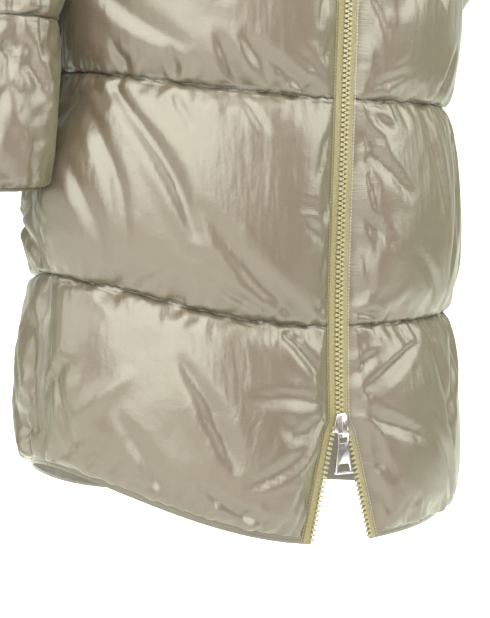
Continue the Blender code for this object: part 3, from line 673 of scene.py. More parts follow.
# %% [markdown]
# ## Sleeves and collar
# Each sleeve is a tube. It starts on the armhole's own edge and follows one tilted ring after another
# down the arm: the right one reaches down to its pocket, and the left one is swung back. Laid out flat
# the tube is a grid like the others, and its two long edges are then merged into one.

# %% Lay out the sleeves and the collar
SLEEVE_PUFF = 0.013
COLLAR_PUFF = 0.012
RIGHT_ARM = (  # centre x, y, z; tilt and lean in degrees; half width and half depth
    (-0.254, 0.000, -0.171, 29, 0, 0.077, 0.082),
    (-0.286, 0.004, -0.234, 70, 0, 0.062, 0.071),
    (-0.291, 0.002, -0.310, 86, -2, 0.058, 0.064),
    (-0.289, -0.006, -0.380, 90, -3, 0.054, 0.059),
    (-0.292, -0.010, -0.465, 90, -2, 0.049, 0.052),
    (-0.294, -0.011, -0.546, 92, 0, 0.046, 0.046),
)
LEFT_ARM = (
    (0.254, 0.006, -0.171, 29, 6, 0.077, 0.082),
    (0.284, 0.046, -0.228, 68, 26, 0.062, 0.071),
    (0.279, 0.094, -0.294, 86, 32, 0.058, 0.064),
    (0.266, 0.132, -0.356, 94, 28, 0.054, 0.059),
    (0.254, 0.166, -0.434, 94, 20, 0.049, 0.052),
    (0.250, 0.192, -0.515, 92, 16, 0.046, 0.046),
)
SLEEVE_LINES = (0.0, 2.15, 4.2, 5.94)  # quilting seams, counted in rings from the armhole
CUFF = 6.0
HALF_SLEEVE = 46  # columns from the middle of a sleeve's front to the middle of its back
SLEEVE_ROWS = 42  # in each baffle
SLEEVE_SHADE = 0.72  # how much flatter a sleeve is where it faces the body


def armhole_loop(side, half):
    """The armhole's edge from the underarm, up the front and down the back: points and normals."""
    levels = armhole_levels(half)
    front = (math.pi / 2 - armhole_angle(levels)) * side
    back_angles = (math.pi / 2 + armhole_angle(levels)) * side
    all_levels = np.concatenate([levels, levels[-2:0:-1]])
    all_angles = np.concatenate([front, back_angles[-2:0:-1]])
    return body_point(all_levels, all_angles), body_normal(all_levels, all_angles)


def arm_ring(ring, side, turn):
    """The points of one ring round an arm."""
    x, y, z, tilt, lean, half_width, half_depth = ring
    tilt, lean = math.radians(tilt), math.radians(lean)
    down = math.sin(tilt)
    direction = unit(np.array([side * math.cos(tilt), math.tan(lean) * down, -down]))
    outward = np.array([side * math.sin(tilt), 0.0, math.cos(tilt)])
    outward = unit(outward - direction * (outward @ direction))
    forward = np.cross(outward, direction) * -side
    forward *= -np.sign(forward[1])
    across = np.cos(turn)[:, None] * outward * half_width
    return np.array([x, y, z]) + across + np.sin(turn)[:, None] * forward * half_depth


def lay_sleeve(name, side, arm, seed, slack):
    """A sleeve, from its armhole to its cuff."""
    edge, seam_normal = armhole_loop(side, HALF_SLEEVE)
    along = np.roll(edge, -1, axis=0) - np.roll(edge, 1, axis=0)
    into_hole = unit(np.cross(along, seam_normal))
    into_hole *= np.sign((into_hole * (edge.mean(axis=0) - edge)).sum(axis=1, keepdims=True))
    turn = np.linspace(math.pi, -math.pi, 2 * HALF_SLEEVE, endpoint=False)
    loops = np.array([edge + into_hole * SEAM_GAP] + [arm_ring(ring, side, turn) for ring in arm])
    at, up, row_pinned = [], [], []
    for low, high in zip(SLEEVE_LINES, (*SLEEVE_LINES[1:], CUFF)):
        count = 2 if high == CUFF else SLEEVE_ROWS
        rows = low + (high - low) * crowded(count)[:-1]
        at += list(rows)
        up += list((rows - low) / (high - low) if high < CUFF else rows * 0.0)
        row_pinned += [True] + [high == CUFF] * (count - 1)
    at, up, row_pinned = np.array(at + [CUFF]), np.array(up + [0.0]), np.array(row_pinned + [True])
    inside = through(loops, at)
    ahead = through(loops, np.minimum(at + 0.02, CUFF)) - through(loops, np.maximum(at - 0.02, 0.0))
    round_it = np.roll(inside, -1, axis=1) - np.roll(inside, 1, axis=1)
    normal = unit(np.cross(round_it, ahead))
    centre = inside.mean(axis=1, keepdims=True)
    normal *= np.sign(((inside - centre) * normal).sum(axis=(1, 2)))[:, None, None]
    own = smoothstep(at / 0.5)[:, None, None]
    normal = unit(normal * own + seam_normal * (1.0 - own))
    facing_body = smoothstep((np.abs(turn) / math.pi - 0.45) / 0.4)
    full = SLEEVE_PUFF * crown(1.0 - up)[:, None] * (1.0 - SLEEVE_SHADE * facing_body)
    inside, normal, full = (np.concatenate([a, a[:, :1]], 1) for a in (inside, normal, full))
    round_length, arm_length = along_grid(inside, 1), along_grid(inside, 0)
    from_seam = seam_distance(inside, row_pinned)
    gather = start_puff(full, 1.0, round_length, arm_length, from_seam, seed)
    close = smoothstep((round_length[:, -1:] - round_length) / 0.03)  # so that the tube's edges meet
    puff = full + (gather - full) * np.minimum(close, smoothstep(round_length / 0.03))
    pinned = np.repeat(row_pinned[:, None], 2 * HALF_SLEEVE + 1, 1)
    lengths = (round_length, arm_length)
    shares = (round_length / round_length[:, -1:], at[:, None])
    seams = [int(np.argmin(np.abs(at - line))) for line in SLEEVE_LINES[1:]]
    return lay_out(name, inside, normal, puff, pinned, lengths, shares, from_seam, slack, seams)


def lay_collar(name):
    """The stand collar, from one side of the zip round to the other."""
    levels = even_levels(NECK, COLLAR_TOP, 32, 1.6)[:, None]
    up = (levels - NECK) / (COLLAR_TOP - NECK)
    edge_angle = zip_edge(levels)
    share = np.linspace(0.0, 1.0, 133)
    angle = edge_angle + share * (2 * math.pi - 2 * edge_angle)
    inside, normal = body_point(levels, angle), body_normal(levels, angle)
    across, height = along_grid(inside, 1), along_grid(inside, 0)
    edge = np.minimum(across, across[:, -1:] - across)
    from_seam = np.minimum.reduce([edge, height, height[-1:] - height])
    full = COLLAR_PUFF * crown(up) + 0.0 * share
    puff = start_puff(full, taper(edge, 0.030), across, height, from_seam, seed=51)
    pinned = np.zeros(puff.shape, bool)
    pinned[0] = pinned[-1] = pinned[:, 0] = pinned[:, -1] = True
    lengths, shares = (across, height), (share, up)
    return lay_out(name, inside, normal, puff, pinned, lengths, shares, from_seam, slack=0.02)


sleeve_right = lay_sleeve("sleeve_right_cloth", -1, RIGHT_ARM, seed=41, slack=0.06)
sleeve_left = lay_sleeve("sleeve_left_cloth", 1, LEFT_ARM, seed=43, slack=0.03)
collar = lay_collar("collar_cloth")
print("grid points", {thing.name: len(thing.data.vertices) for thing, _ in waiting})

# %% Blow them up
simulate()

# %% [markdown]
# ## Folds
# Pressure and slack give the fine gathers beside the seams. The long soft folds come from how the
# jacket hangs and is pulled, which a simulation of one panel doesn't know, so they are pressed in
# afterwards. Each fold is a short path across the cloth with a width and a depth: a valley with a
# lower ridge on one side, which fades out at both ends. Those in front are placed as the jacket shows
# them, and the sides that don't show get similar ones from a seeded draw.

# %% Press folds into the cloth
GATHER_DEPTH = 0.0022
GATHER_RUN = 0.013  # how far from a quilting line these puckers run
FOLD_DEPTH = 1.5  # times the depth in the lists
FOLD_STEPS = 8  # straight steps in a fold's path
FOLD_SCALE = {  # metres across a piece, and up one of its baffles
    "front": (0.262, 0.205),
    "back": (0.540, 0.205),
    "sleeve": (0.400, 0.085),
    "collar": (0.500, 0.090),
}
FRONT_RIGHT_FOLDS = (
    # width and depth in mm; then the path: share from the zip to the side, baffle and share up it
    (9, 4.0, ((0.72, 1.93), (0.58, 1.72), (0.50, 1.56), (0.43, 1.34))),
    (8, 2.6, ((0.80, 1.84), (0.72, 1.65), (0.66, 1.47), (0.64, 1.25))),
    (8, 2.4, ((0.84, 1.58), (0.74, 1.33), (0.70, 1.15))),
    (10, 2.6, ((0.42, 1.46), (0.27, 1.22), (0.10, 1.02))),
    (4, 2.2, ((0.17, 1.54), (0.09, 1.52), (0.03, 1.49))),
    (4, 1.8, ((0.12, 1.47), (0.06, 1.40))),
    (5, 1.8, ((0.36, 1.14), (0.22, 1.05))),
    (5, 1.6, ((0.30, 1.95), (0.24, 1.82))),
    (5, 1.6, ((0.52, 1.94), (0.46, 1.80))),
    (6, 3.4, ((0.16, 0.95), (0.10, 0.86), (0.05, 0.77))),
    (6, 2.8, ((0.27, 0.65), (0.15, 0.68), (0.04, 0.67))),
    (4, 2.0, ((0.09, 0.58), (0.04, 0.60))),
    (6, 3.0, ((0.22, 0.29), (0.14, 0.38), (0.07, 0.47))),
    (4, 2.0, ((0.09, 0.34), (0.04, 0.40))),
    (9, -2.2, ((0.78, 0.36), (0.70, 0.50), (0.62, 0.62))),
    (9, 3.0, ((0.46, 0.74), (0.36, 0.54), (0.28, 0.36))),
    (9, 2.6, ((0.62, 0.42), (0.53, 0.26), (0.47, 0.12))),
    (7, 2.2, ((0.90, 0.55), (0.84, 0.36), (0.80, 0.20))),
    (7, 2.0, ((0.36, 0.22), (0.24, 0.13), (0.12, 0.10))),
    (8, 3.0, ((0.27, 2.19), (0.18, 2.10), (0.10, 2.02))),
    (8, 3.4, ((0.31, 2.23), (0.26, 2.12), (0.20, 2.01))),
    (7, 3.2, ((0.39, 2.22), (0.35, 2.11), (0.31, 2.01))),
    (5, 2.4, ((0.54, 2.16), (0.52, 2.08), (0.51, 2.01))),
    (5, 2.0, ((0.72, 2.15), (0.69, 2.08), (0.66, 2.01))),
    (10, 2.6, ((0.80, 2.42), (0.66, 2.28), (0.50, 2.18))),
)
FRONT_LEFT_FOLDS = (
    (5, 3.0, ((0.07, 1.94), (0.09, 1.90), (0.12, 1.87))),
    (4, 2.4, ((0.03, 1.86), (0.05, 1.84), (0.08, 1.81))),
    (5, 2.2, ((0.01, 1.72), (0.07, 1.75))),
    (6, 3.4, ((0.05, 1.80), (0.10, 1.70), (0.19, 1.58))),
    (5, 2.6, ((0.02, 1.50), (0.06, 1.44), (0.12, 1.37))),
    (5, 2.2, ((0.02, 1.06), (0.10, 1.05))),
    (8, 2.6, ((0.30, 1.92), (0.36, 1.72), (0.40, 1.50))),
    (8, 2.4, ((0.52, 1.84), (0.56, 1.60), (0.54, 1.36))),
    (7, 2.2, ((0.22, 1.34), (0.34, 1.20), (0.40, 1.08))),
    (5, 2.6, ((0.01, 0.74), (0.04, 0.82), (0.09, 0.87))),
    (6, 4.0, ((0.04, 0.71), (0.13, 0.79), (0.25, 0.88))),
    (6, 3.0, ((0.03, 0.62), (0.12, 0.56), (0.24, 0.48))),
    (4, 2.0, ((0.01, 0.35), (0.06, 0.42))),
    (8, 2.6, ((0.34, 0.90), (0.42, 0.66), (0.44, 0.42))),
    (8, 2.4, ((0.30, 0.50), (0.40, 0.30), (0.44, 0.12))),
    (6, 2.4, ((0.06, 2.06), (0.16, 2.14))),
    (8, 2.4, ((0.40, 2.05), (0.50, 2.25))),
)


def press_folds(thing, scale, folds):
    """Moves the cloth in along each fold's path, and a little out beside it."""
    mesh = thing.data
    points, normal = points_of(mesh), numbers(mesh, "normal")
    here = numbers(mesh, "share")[:, :2] * scale
    free = smoothstep(numbers(mesh, "from_seam")[:, 0] / 0.008)
    push = np.zeros(len(here))
    for width, depth, path in folds:
        width, depth = width / 1000, depth / 1000
        stops = np.linspace(0, len(path) - 1, FOLD_STEPS + 1)
        nodes = through(np.array(path) * scale, stops)
        nearest, side, along = np.full(len(here), 9.0), np.zeros(len(here)), np.zeros(len(here))
        for step, (a, b) in enumerate(zip(nodes[:-1], nodes[1:])):
            way = b - a
            t = np.clip(((here - a) @ way) / (way @ way), 0.0, 1.0)
            off = here - a - t[:, None] * way
            distance = np.linalg.norm(off, axis=1)
            closer = distance < nearest
            nearest = np.where(closer, distance, nearest)
            side = np.where(closer, np.sign(way[0] * off[:, 1] - way[1] * off[:, 0]), side)
            along = np.where(closer, (step + t) / FOLD_STEPS, along)
        ends = np.sin(np.pi * np.clip(0.08 + 0.84 * along, 0.0, 1.0)) ** 0.8
        across = 1.15 * nearest * side / (width * (0.5 + 0.5 * ends))
        valley = np.exp(-np.abs(across) ** 1.6)
        ridge = 0.38 * np.exp(-((across - 1.6) ** 2)) + 0.18 * np.exp(-((across + 1.8) ** 2))
        push += FOLD_DEPTH * depth * ends * (ridge - valley)
    above = ((points - numbers(mesh, "inside")) * normal).sum(axis=1)
    push = np.maximum(push * free, THINNEST - above)
    place_points(mesh, points + normal * push[:, None])


def draw_folds(count, bands, seed, longest=0.75, skip=0.0):
    """Similar folds for a side that isn't seen: most hang from a seam and lean a little."""
    draw = np.random.default_rng(seed)
    folds = []
    for _ in range(count):
        band = bands[draw.integers(len(bands))]
        x = draw.uniform(skip, 1.0)
        from_top = draw.random() < 0.6
        length = draw.uniform(0.25, longest)
        lean = draw.normal(0.0, 0.10)
        start = 0.96 if from_top else 0.04
        end = start - length if from_top else start + length
        middle = (x + lean * 0.35 + draw.normal(0.0, 0.015), band + (start + end) / 2)
        path = ((x, band + start), middle, (x + lean, band + end))
        folds.append((draw.uniform(6, 10), draw.uniform(1.6, 3.4), path))
    return folds


def gather_seams(thing, seed):
    """Short puckers across every quilting line, finer than the simulated ones."""
    mesh = thing.data
    points, normal = points_of(mesh), numbers(mesh, "normal")
    across, height, from_quilting = numbers(mesh, "laid").T
    fine = soft_noise(across + 0.35 * height, height, 0.0060, 0.045, seed)
    broad = soft_noise(across + 0.45 * height, height, 0.0110, 0.060, seed + 1)
    near = np.exp(-((from_quilting / GATHER_RUN) ** 2))
    near *= smoothstep((from_quilting - 0.001) / 0.004)  # the seam itself stays straight
    push = GATHER_DEPTH * near * (0.8 * fine + 1.1 * broad)
    push *= smoothstep(numbers(mesh, "from_seam")[:, 0] / 0.004)
    place_points(mesh, points + normal * push[:, None])


for number, piece in enumerate((front_right, front_left, back, sleeve_right, sleeve_left)):
    gather_seams(piece, 90 + 2 * number)
for piece, scale, folds in (
    (front_right, "front", FRONT_RIGHT_FOLDS),
    (front_left, "front", FRONT_LEFT_FOLDS),
    (front_right, "front", draw_folds(10, (2.35,), 61, longest=0.5)),
    (front_left, "front", draw_folds(9, (2.35,), 62, longest=0.5)),
    (front_left, "front", draw_folds(12, (0, 1), 63, skip=0.55)),
    (back, "back", draw_folds(52, (0, 1, 2), 64)),
    (sleeve_right, "sleeve", draw_folds(80, range(6), 65, longest=1.4)),
    (sleeve_left, "sleeve", draw_folds(60, range(6), 66, longest=1.4)),
    (collar, "collar", draw_folds(26, (0,), 67, longest=0.6)),
):
    press_folds(piece, FOLD_SCALE[scale], folds)
print("folds in front", len(FRONT_RIGHT_FOLDS) + len(FRONT_LEFT_FOLDS))

# %% [markdown]
# ## The nylon
# The shell is a shot satin nylon. Its warp is a pinkish taupe and its weft an olive green, and the
# long smooth floats of a satin throw light back in one broad, pale sheen. Seen square on it is taupe,
# and where the surface turns away it goes green. A Layer Weight node mixes the two yarns. An attribute
# that is 1 at a quilting line darkens the colour there: that is painted shade, for the shadow at the
# bottom of each groove. Three bumps lie on top of each other on the cloth's own UV map, which is laid
# out in metres: the crosswise ribs of the weave, small puckers beside the zip, and slanting wrinkles
# all over. The real ribs are about 0.3 mm apart, too fine to show, so they are drawn 1.8 mm apart.

# %% Make the shot satin nylon
RIB_PITCH = 0.0018
PUCKER_PITCH = 0.0034
PUCKER_REACH = 0.011  # from the edge beside the zip
WRINKLE_SLANT = -0.45
WRINKLE_SCALE = (75.0, 17.0, 1.0)  # per metre, so that they are longer than wide
nylon, tree, shader = new_material("shot_satin_nylon")
uv = cloth_map(tree)
facing = add_node(tree, "ShaderNodeLayerWeight", {"Blend": 0.38}).outputs["Facing"]
uneven = remap(tree, add_noise(tree, uv, 14.0, 2.0), 0.0, 1.0, -0.16, 0.16)
turned = calculate(tree, "ADD", remap(tree, facing, 0.10, 0.75), uneven, clamp=True)
yarns = mix_shades(tree, turned, "#574b3d", "#5a563d")  # taupe warp and olive weft
# painted shade: an attribute that is 1 at each quilting line darkens the cloth there, standing in for
# the shadow in the groove
painted_crease_shade = add_node(tree, "ShaderNodeAttribute", attribute_name="painted_crease_shade").outputs["Fac"]
ragged_painted_shade = calculate(tree, "MULTIPLY", painted_crease_shade, add_noise(tree, uv, 260.0, 1.0))
painted_shade_amount = remap(tree, ragged_painted_shade, 0.14, 0.46)
ribs = add_bands(tree, uv, RIB_PITCH, "Y", {"Distortion": 0.6, "Detail": 1.0})
weave = calculate(tree, "ADD", ribs, add_noise(tree, uv, 420.0, 2.0))
relief = add_bump(tree, weave, 0.00012, 0.32)
puckers = {"Distortion": 5.0, "Detail": 2.0, "Detail Scale": 1.2}
puckers = add_bands(tree, uv, PUCKER_PITCH, "Y", puckers)
from_zip = add_node(tree, "ShaderNodeSeparateXYZ", {"Vector": uv}).outputs["X"]
beside = remap(tree, from_zip, PUCKER_REACH, 0.001, kind="SMOOTHSTEP")
groups = remap(tree, add_noise(tree, uv, 38.0, 1.0), 0.42, 0.66)
beside = calculate(tree, "MULTIPLY", beside, groups)
relief = add_bump(tree, calculate(tree, "MULTIPLY", puckers, beside), 0.0011, 0.10, relief)
slanting = {"Vector": uv, "Rotation": (0.0, 0.0, WRINKLE_SLANT), "Scale": WRINKLE_SCALE}
slanting = add_node(tree, "ShaderNodeMapping", slanting).outputs["Vector"]
crumple = add_noise(tree, uv, 55.0, 3.0, 0.45)
wrinkles = calculate(tree, "MULTIPLY_ADD", add_noise(tree, slanting, 1.0, 2.0), 1.6, crumple)
feed(tree, shader, {
    "Base Color": mix_shades(tree, painted_shade_amount, yarns, "#362a1f"),  # painted shade in the quilting grooves
    "Normal": add_bump(tree, wrinkles, 0.0011, 0.65, relief),
    "Metallic": 0.12,
    "Roughness": 0.34,
    "IOR": 1.60,
    "Specular IOR Level": 1.0,
    "Specular Tint": colour("#eaf3e4"),
    "Sheen Weight": 0.12,
    "Sheen Roughness": 0.45,
    "Sheen Tint": colour("#d9d8be"),
})
print(nylon.name, len(tree.nodes), "nodes")

# %% [markdown]
# ## From one layer to a padded wall
# The simulated grid is only the outer layer. Extruding all of its faces and keeping the old ones gives
# a second layer with side walls between the two; the old layer is then laid on the plain inside. That
# makes a closed wall with filling room in it, open where the garment is open.

# %% Close the walls
CREASE_SHADE_WIDTH = 0.0021  # the width of the painted shade line at the bottom of the quilting


def close_wall(thing, finish):
    """Gives the piece its inside and its painted shade along the quilting lines, and takes its helper
    values away.
    """
    build = bmesh.new()
    build.from_mesh(thing.data)
    inside_layer = build.verts.layers.float_vector["inside"]
    old = build.verts[:]
    bmesh.ops.extrude_face_region(build, geom=build.faces[:], use_keep_orig=True)
    for vert in old:
        vert.co = vert[inside_layer]
    bmesh.ops.recalc_face_normals(build, faces=build.faces)
    for face in build.faces:
        face.smooth = True
    build.to_mesh(thing.data)
    build.free()
    mesh = thing.data
    # painted shade: 1 on a quilting line, fading out within a few millimetres
    painted_crease_shade = np.exp(-((numbers(mesh, "laid")[:, 2] / CREASE_SHADE_WIDTH) ** 2))
    stored = mesh.attributes.new("painted_crease_shade", "FLOAT", "POINT")
    stored.data.foreach_set("value", painted_crease_shade.astype(np.float32))
    for name in ("inside", "normal", "share", "pin", "from_seam", "laid"):
        mesh.attributes.remove(mesh.attributes[name])
    mesh.materials.append(finish)


def dress(thing, node, body="coat"):
    """The piece rides on its body and stands for its node."""
    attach(thing, body)
    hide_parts(node)


for thing, node in (
    (front_right, "front_right"),
    (front_left, "front_left"),
    (back, "back"),
    (sleeve_right, "sleeve_right"),
    (sleeve_left, "sleeve_left"),
    (collar, "collar"),
):
    close_wall(thing, nylon)
    dress(thing, node)
    print(thing.name, len(thing.data.polygons), "faces")

# %% [markdown]
# ## The zip
# A moulded zip is two woven tapes with a row of plastic teeth moulded round the edge of each. The
# teeth of one side sit in the gaps of the other, half a pitch further on. The tapes are strips of the
# same figure surface, and one tooth is modelled and then set down once for every place along the
# chain. Both rows are counted from the lower slider, so that they mesh above it.

# %% Materials of the zip
FINE = 0.0001  # the depth of a grain too fine to measure
tape_cloth, tree, shader = new_material("woven_polyester_tape")  # ribbed lengthwise, dull
uv = cloth_map(tree)
cords = add_bands(tree, uv, 0.0013, "X", {"Distortion": 0.4})
picks = add_bands(tree, uv, 0.0012, "Y", {"Distortion": 0.4})
woven = calculate(tree, "MULTIPLY", cords, picks)
woven = calculate(tree, "ADD", woven, add_noise(tree, uv, 700.0, 2.0))
woven = remap(tree, woven, 0.35, 1.3)
values = {"Roughness": 0.72, "Sheen Weight": 0.25}
grain_finish(tree, shader, woven, ("#5d5636", "#91875a"), 0.0003, 0.8, values)

tooth_plastic, tree, shader = new_material("moulded_acetal")  # glossy with small flow marks
flow = add_noise(tree, own_place(tree), 500.0, 1.0)
values = {"Roughness": 0.25, "IOR": 1.48}
grain_finish(tree, shader, flow, ("#777150", "#9a9370"), FINE, 0.2, values)

nickel, tree, shader = new_material("polished_nickel")  # a mirror with fine polishing haze
haze = add_noise(tree, own_place(tree), 260.0, 3.0)
feed(tree, shader, {
    "Base Color": mix_shades(tree, haze, "#c9c4bf", "#e4dfdb"),
    "Roughness": remap(tree, haze, 0.0, 1.0, 0.12, 0.24),
    "Metallic": 1.0,
})
print("zip materials", tape_cloth.name, tooth_plastic.name, nickel.name)

# %% Helpers for strips and repeated shapes
CHUNK = 40  # copies that are gathered before they join the whole, which is quicker


def lay_sheet(name, surface, normal, thickness, finish):
    """A thin sheet: a grid laid on the surface's points, then given its thickness inwards."""
    across, height = along_grid(surface, 1), along_grid(surface, 0)
    build, place = cloth_grid(surface, across, height)
    bmesh.ops.recalc_face_normals(build, faces=build.faces)
    middle = build.faces[len(build.faces) // 2]
    outward = normal[place[middle.verts[0]]]
    if middle.normal.dot(Vector(outward)) < 0:
        bmesh.ops.reverse_faces(build, faces=build.faces)
    bmesh.ops.solidify(build, geom=build.faces[:], thickness=thickness)
    made = add_object(name, build, finish)
    size = (float(across[:, -1].mean()), float(height[-1].mean()))
    print(name, "flat", [round(side, 4) for side in size], "m")
    return made, size


def repeat_shape(name, shape, places, finish, smooth=True):
    """One object with a copy of the shape at every place, each place a 4 x 4 matrix."""
    whole = bmesh.new()
    for first in range(0, len(places), CHUNK):
        part = bmesh.new()
        for matrix in places[first : first + CHUNK]:
            before = len(part.verts)
            part.from_mesh(shape)
            bmesh.ops.transform(part, matrix=matrix, verts=part.verts[before:])
        chunk = to_mesh("chunk", part)
        whole.from_mesh(chunk)
        bpy.data.meshes.remove(chunk)
    made = add_object(name, whole, finish, smooth)
    print(name, len(places), "copies,", len(made.data.polygons), "faces")
    return made


def read_path(at, along, values):
    """A point or a normal at one length along a path."""
    return np.array([np.interp(at, along, values[:, axis]) for axis in range(3)])


def stand(point, across, out):
    """A matrix that stands a shape at the point, its X across and its Y outwards."""
    across = unit(across)
    along = unit(np.cross(across, out))
    out = np.cross(along, across)
    turn = Matrix((across, out, along)).transposed().to_4x4()
    return Matrix.Translation(Vector(point)) @ turn


# %% The tapes


def chain_path(levels, side, across):
    """Points and normals along a line of the zip, this far from its chain's middle."""
    height = body_point(levels, 0.0)[..., 2]
    angle = angle_at(levels, zip_opening(height) + across) * side
    return body_point(levels, angle), body_normal(levels, angle)


TAPE_PROFILE = (  # distance from the chain's middle, height above the inside
    (0.0016, 0.0016),
    (0.0040, 0.0017),
    (0.0046, 0.0022),
    (0.0052, 0.0024),
    (0.0058, 0.0018),
    (0.0078, 0.0016),
    (0.0094, 0.0017),
    (0.0106, 0.0014),
)
tape_levels = even_levels(HEM, NECK, 300, 0.05)
tape_levels = np.concatenate([tape_levels, even_levels(NECK, COLLAR_TOP, 44, 0.05)[1:]])
for side, name in ((-1, "right"), (1, "left")):
    surface, outward = [], []
    for across, out in TAPE_PROFILE:
        points, normals = chain_path(tape_levels, side, across)
        surface.append(points + normals * out)
        outward.append(normals)
    surface, outward = np.stack(surface, 1), np.stack(outward, 1)
    tape, flat = lay_sheet("zip_tape_" + name + "_woven", surface, outward, 0.0009, tape_cloth)
    dress(tape, "zip_tape_" + name)

# %% The teeth
TOOTH_PITCH = 0.0045
TOOTH_SIZE = (0.0050, 0.0034, 0.0021)  # across, outwards, along
build = bmesh.new()
bmesh.ops.create_cube(build, size=1.0)
bmesh.ops.scale(build, vec=TOOTH_SIZE, verts=build.verts)
long_edges = [e for e in build.edges if abs(e.verts[0].co.x - e.verts[1].co.x) > 0.004]
bmesh.ops.subdivide_edges(build, edges=long_edges, cuts=2)
for vert in build.verts:  # a broad foot, a narrow waist and a wider head
    if vert.co.x < -0.0005:
        vert.co.z *= 1.40
    elif vert.co.x < 0.0015:
        vert.co.z *= 0.80
        vert.co.x -= 0.0002
end_edges = [
    e for e in build.edges
    if max(abs(v.co.x) for v in e.verts) > 0.0024
    and e.calc_length() > 0.0012
    and abs(e.verts[0].co.x - e.verts[1].co.x) < 1e-6
]
bmesh.ops.bevel(build, geom=end_edges, offset=0.00045, offset_type="OFFSET", affect="EDGES",
                segments=1, profile=0.5, material=-1)
bmesh.ops.translate(build, verts=build.verts, vec=(-0.0018, 0.0021, 0.0))
tooth = to_mesh("tooth", build)
print("tooth", len(tooth.polygons), "faces")


def teeth_places(side, shift):
    """Where the teeth of one side stand: evenly along its chain, counted from the lower slider."""
    levels = np.linspace(HEM, COLLAR_TOP, 6001)
    path, normals = chain_path(levels, side, 0.0)
    along = along_grid(path, 0)
    start = along[np.argmin(np.abs(levels - level_at(HEM_HEIGHT + LOWER_SLIDER_HEIGHT)))]
    first = math.ceil((0.002 - start) / TOOTH_PITCH - shift)
    last = math.floor((along[-1] - 0.003 - start) / TOOTH_PITCH - shift)
    stops = start + (np.arange(first, last + 1) + shift) * TOOTH_PITCH
    found = []
    for stop in stops:
        point = read_path(stop, along, path)
        ahead = read_path(stop + 0.002, along, path)
        out = unit(read_path(stop, along, normals))
        inward = np.cross(unit(ahead - point + 1e-9), out) * side
        inward *= -np.sign(inward[0]) * side
        found.append(stand(point, inward, out))
    return found


for side, name, shift in ((-1, "right", 0.5), (1, "left", 0.0)):
    places = teeth_places(side, shift)
    row = repeat_shape("zip_teeth_" + name, tooth, places, tooth_plastic, smooth=False)
    dress(row, "zip_tape_" + name)

# %% [markdown]
# ## Thread
# Every line of stitching is a row of short thread humps, each a few millimetres long where the needle
# went down and up again. One hump is modelled as a stretched icosphere of twenty faces and set down
# along the line: in dark thread at the bottom of the quilting and along the hem, and in khaki thread
# beside the zip and along the pockets, where it shows as a row of small bright dots.

# %% Stitches
QUILTING_STITCH = (0.0036, 0.0026, 0.0001)  # pitch, length and lift, in metres
HEM_STITCH = (0.0032, 0.0026, 0.0003)
ZIP_STITCH = (0.0030, 0.0022, 0.0003)
POCKET_STITCH = (0.0034, 0.0024, 0.0003)
build = bmesh.new()
bmesh.ops.create_icosphere(build, subdivisions=1, radius=0.5)
bmesh.ops.scale(build, vec=(1.0, 0.26, 0.22), verts=build.verts)
hump = to_mesh("thread_hump", build)


def thread_material(name, dark, light):
    """Twisted polyester thread: dull, with the twist as a fine change of shade."""
    made, tree, shader = new_material(name)
    twist = add_noise(tree, own_place(tree), 900.0, 1.0)
    values = {"Roughness": 0.9, "Specular IOR Level": 0.15}
    grain_finish(tree, shader, twist, (dark, light), FINE, 0.4, values)
    return made


dark_thread = thread_material("dark_polyester_thread", "#33281e", "#4f4132")
khaki_thread = thread_material("khaki_polyester_thread", "#a39763", "#cfc596")


def stitch_places(points, normals, pitch, length, lift):
    """Places for the humps along a line of points."""
    along = along_grid(points, 0)
    found = []
    for stop in np.arange(pitch / 2, along[-1] - pitch / 2, pitch):
        here, ahead = read_path(stop, along, points), read_path(stop + pitch / 4, along, points)
        out = unit(read_path(stop, along, normals))
        found.append(stand(here + out * lift, ahead - here, out) @ Matrix.Scale(length, 4))
    return found


def front_line(side, across, levels):
    """A line on the flat edge of a front, this far from the chain's middle."""
    points, normals = chain_path(levels, side, across)
    return points + normals * SEAM_WALL, normals


def pocket_line(side):
    """A line on the flat edge along a pocket's mouth."""
    levels = np.linspace(LINE_1 - 0.02, LINE_2 + 0.35, 160)
    angle = (math.pi / 2 - 0.003 / 0.150) * side + 0.0 * levels
    points, normals = body_point(levels, angle), body_normal(levels, angle)
    return points + normals * (SEAM_WALL + pocket_lift(side, angle, points[:, 2]))[:, None], normals


def hem_line(start, end):
    """A line just above the hem's edge, from one angle to another."""
    angle = np.linspace(start, end, 300)
    level = level_at(HEM_HEIGHT + HEM_MARGIN) + 0.0 * angle
    points, normals = body_point(level, angle), body_normal(level, angle)
    return points + normals * SEAM_WALL, normals


places = []
for points, normals in quilting:
    places += stitch_places(points, normals, *QUILTING_STITCH)
quilting_thread = repeat_shape("quilting_thread", hump, places, dark_thread)
places = []
hem_start = float(zip_edge(HEM)) + 0.01
corners = (hem_start, math.pi / 2, 1.5 * math.pi, 2 * math.pi - hem_start)
for start, end in zip(corners[:-1], corners[1:]):
    places += stitch_places(*hem_line(start + 0.01, end - 0.01), *HEM_STITCH)
hem_thread = repeat_shape("hem_thread", hump, places, dark_thread)
places = []
for side in (-1, 1):
    zip_levels = np.linspace(HEM + 0.02, NECK - 0.02, 600)
    places += stitch_places(*front_line(side, ZIP_HALF_TAPE + 0.0014, zip_levels), *ZIP_STITCH)
    places += stitch_places(*pocket_line(side), *POCKET_STITCH)
edge_thread = repeat_shape("edge_thread", hump, places, khaki_thread)
for thread in (quilting_thread, hem_thread, edge_thread):
    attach(thread, "coat")

# %% [markdown]
# ## Sliders and pulls
# The sliders and their pulls are cast zinc, plated with nickel and tumbled smooth. Their exact shapes
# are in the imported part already, as loose triangles. Merging the doubles and bevelling the sharp edges
# of a copy gives them the soft corners that catch the light.

# %% Finish the metal
METAL_EDGE = 0.0003
FLAT, SHARP = math.radians(2), math.radians(25)


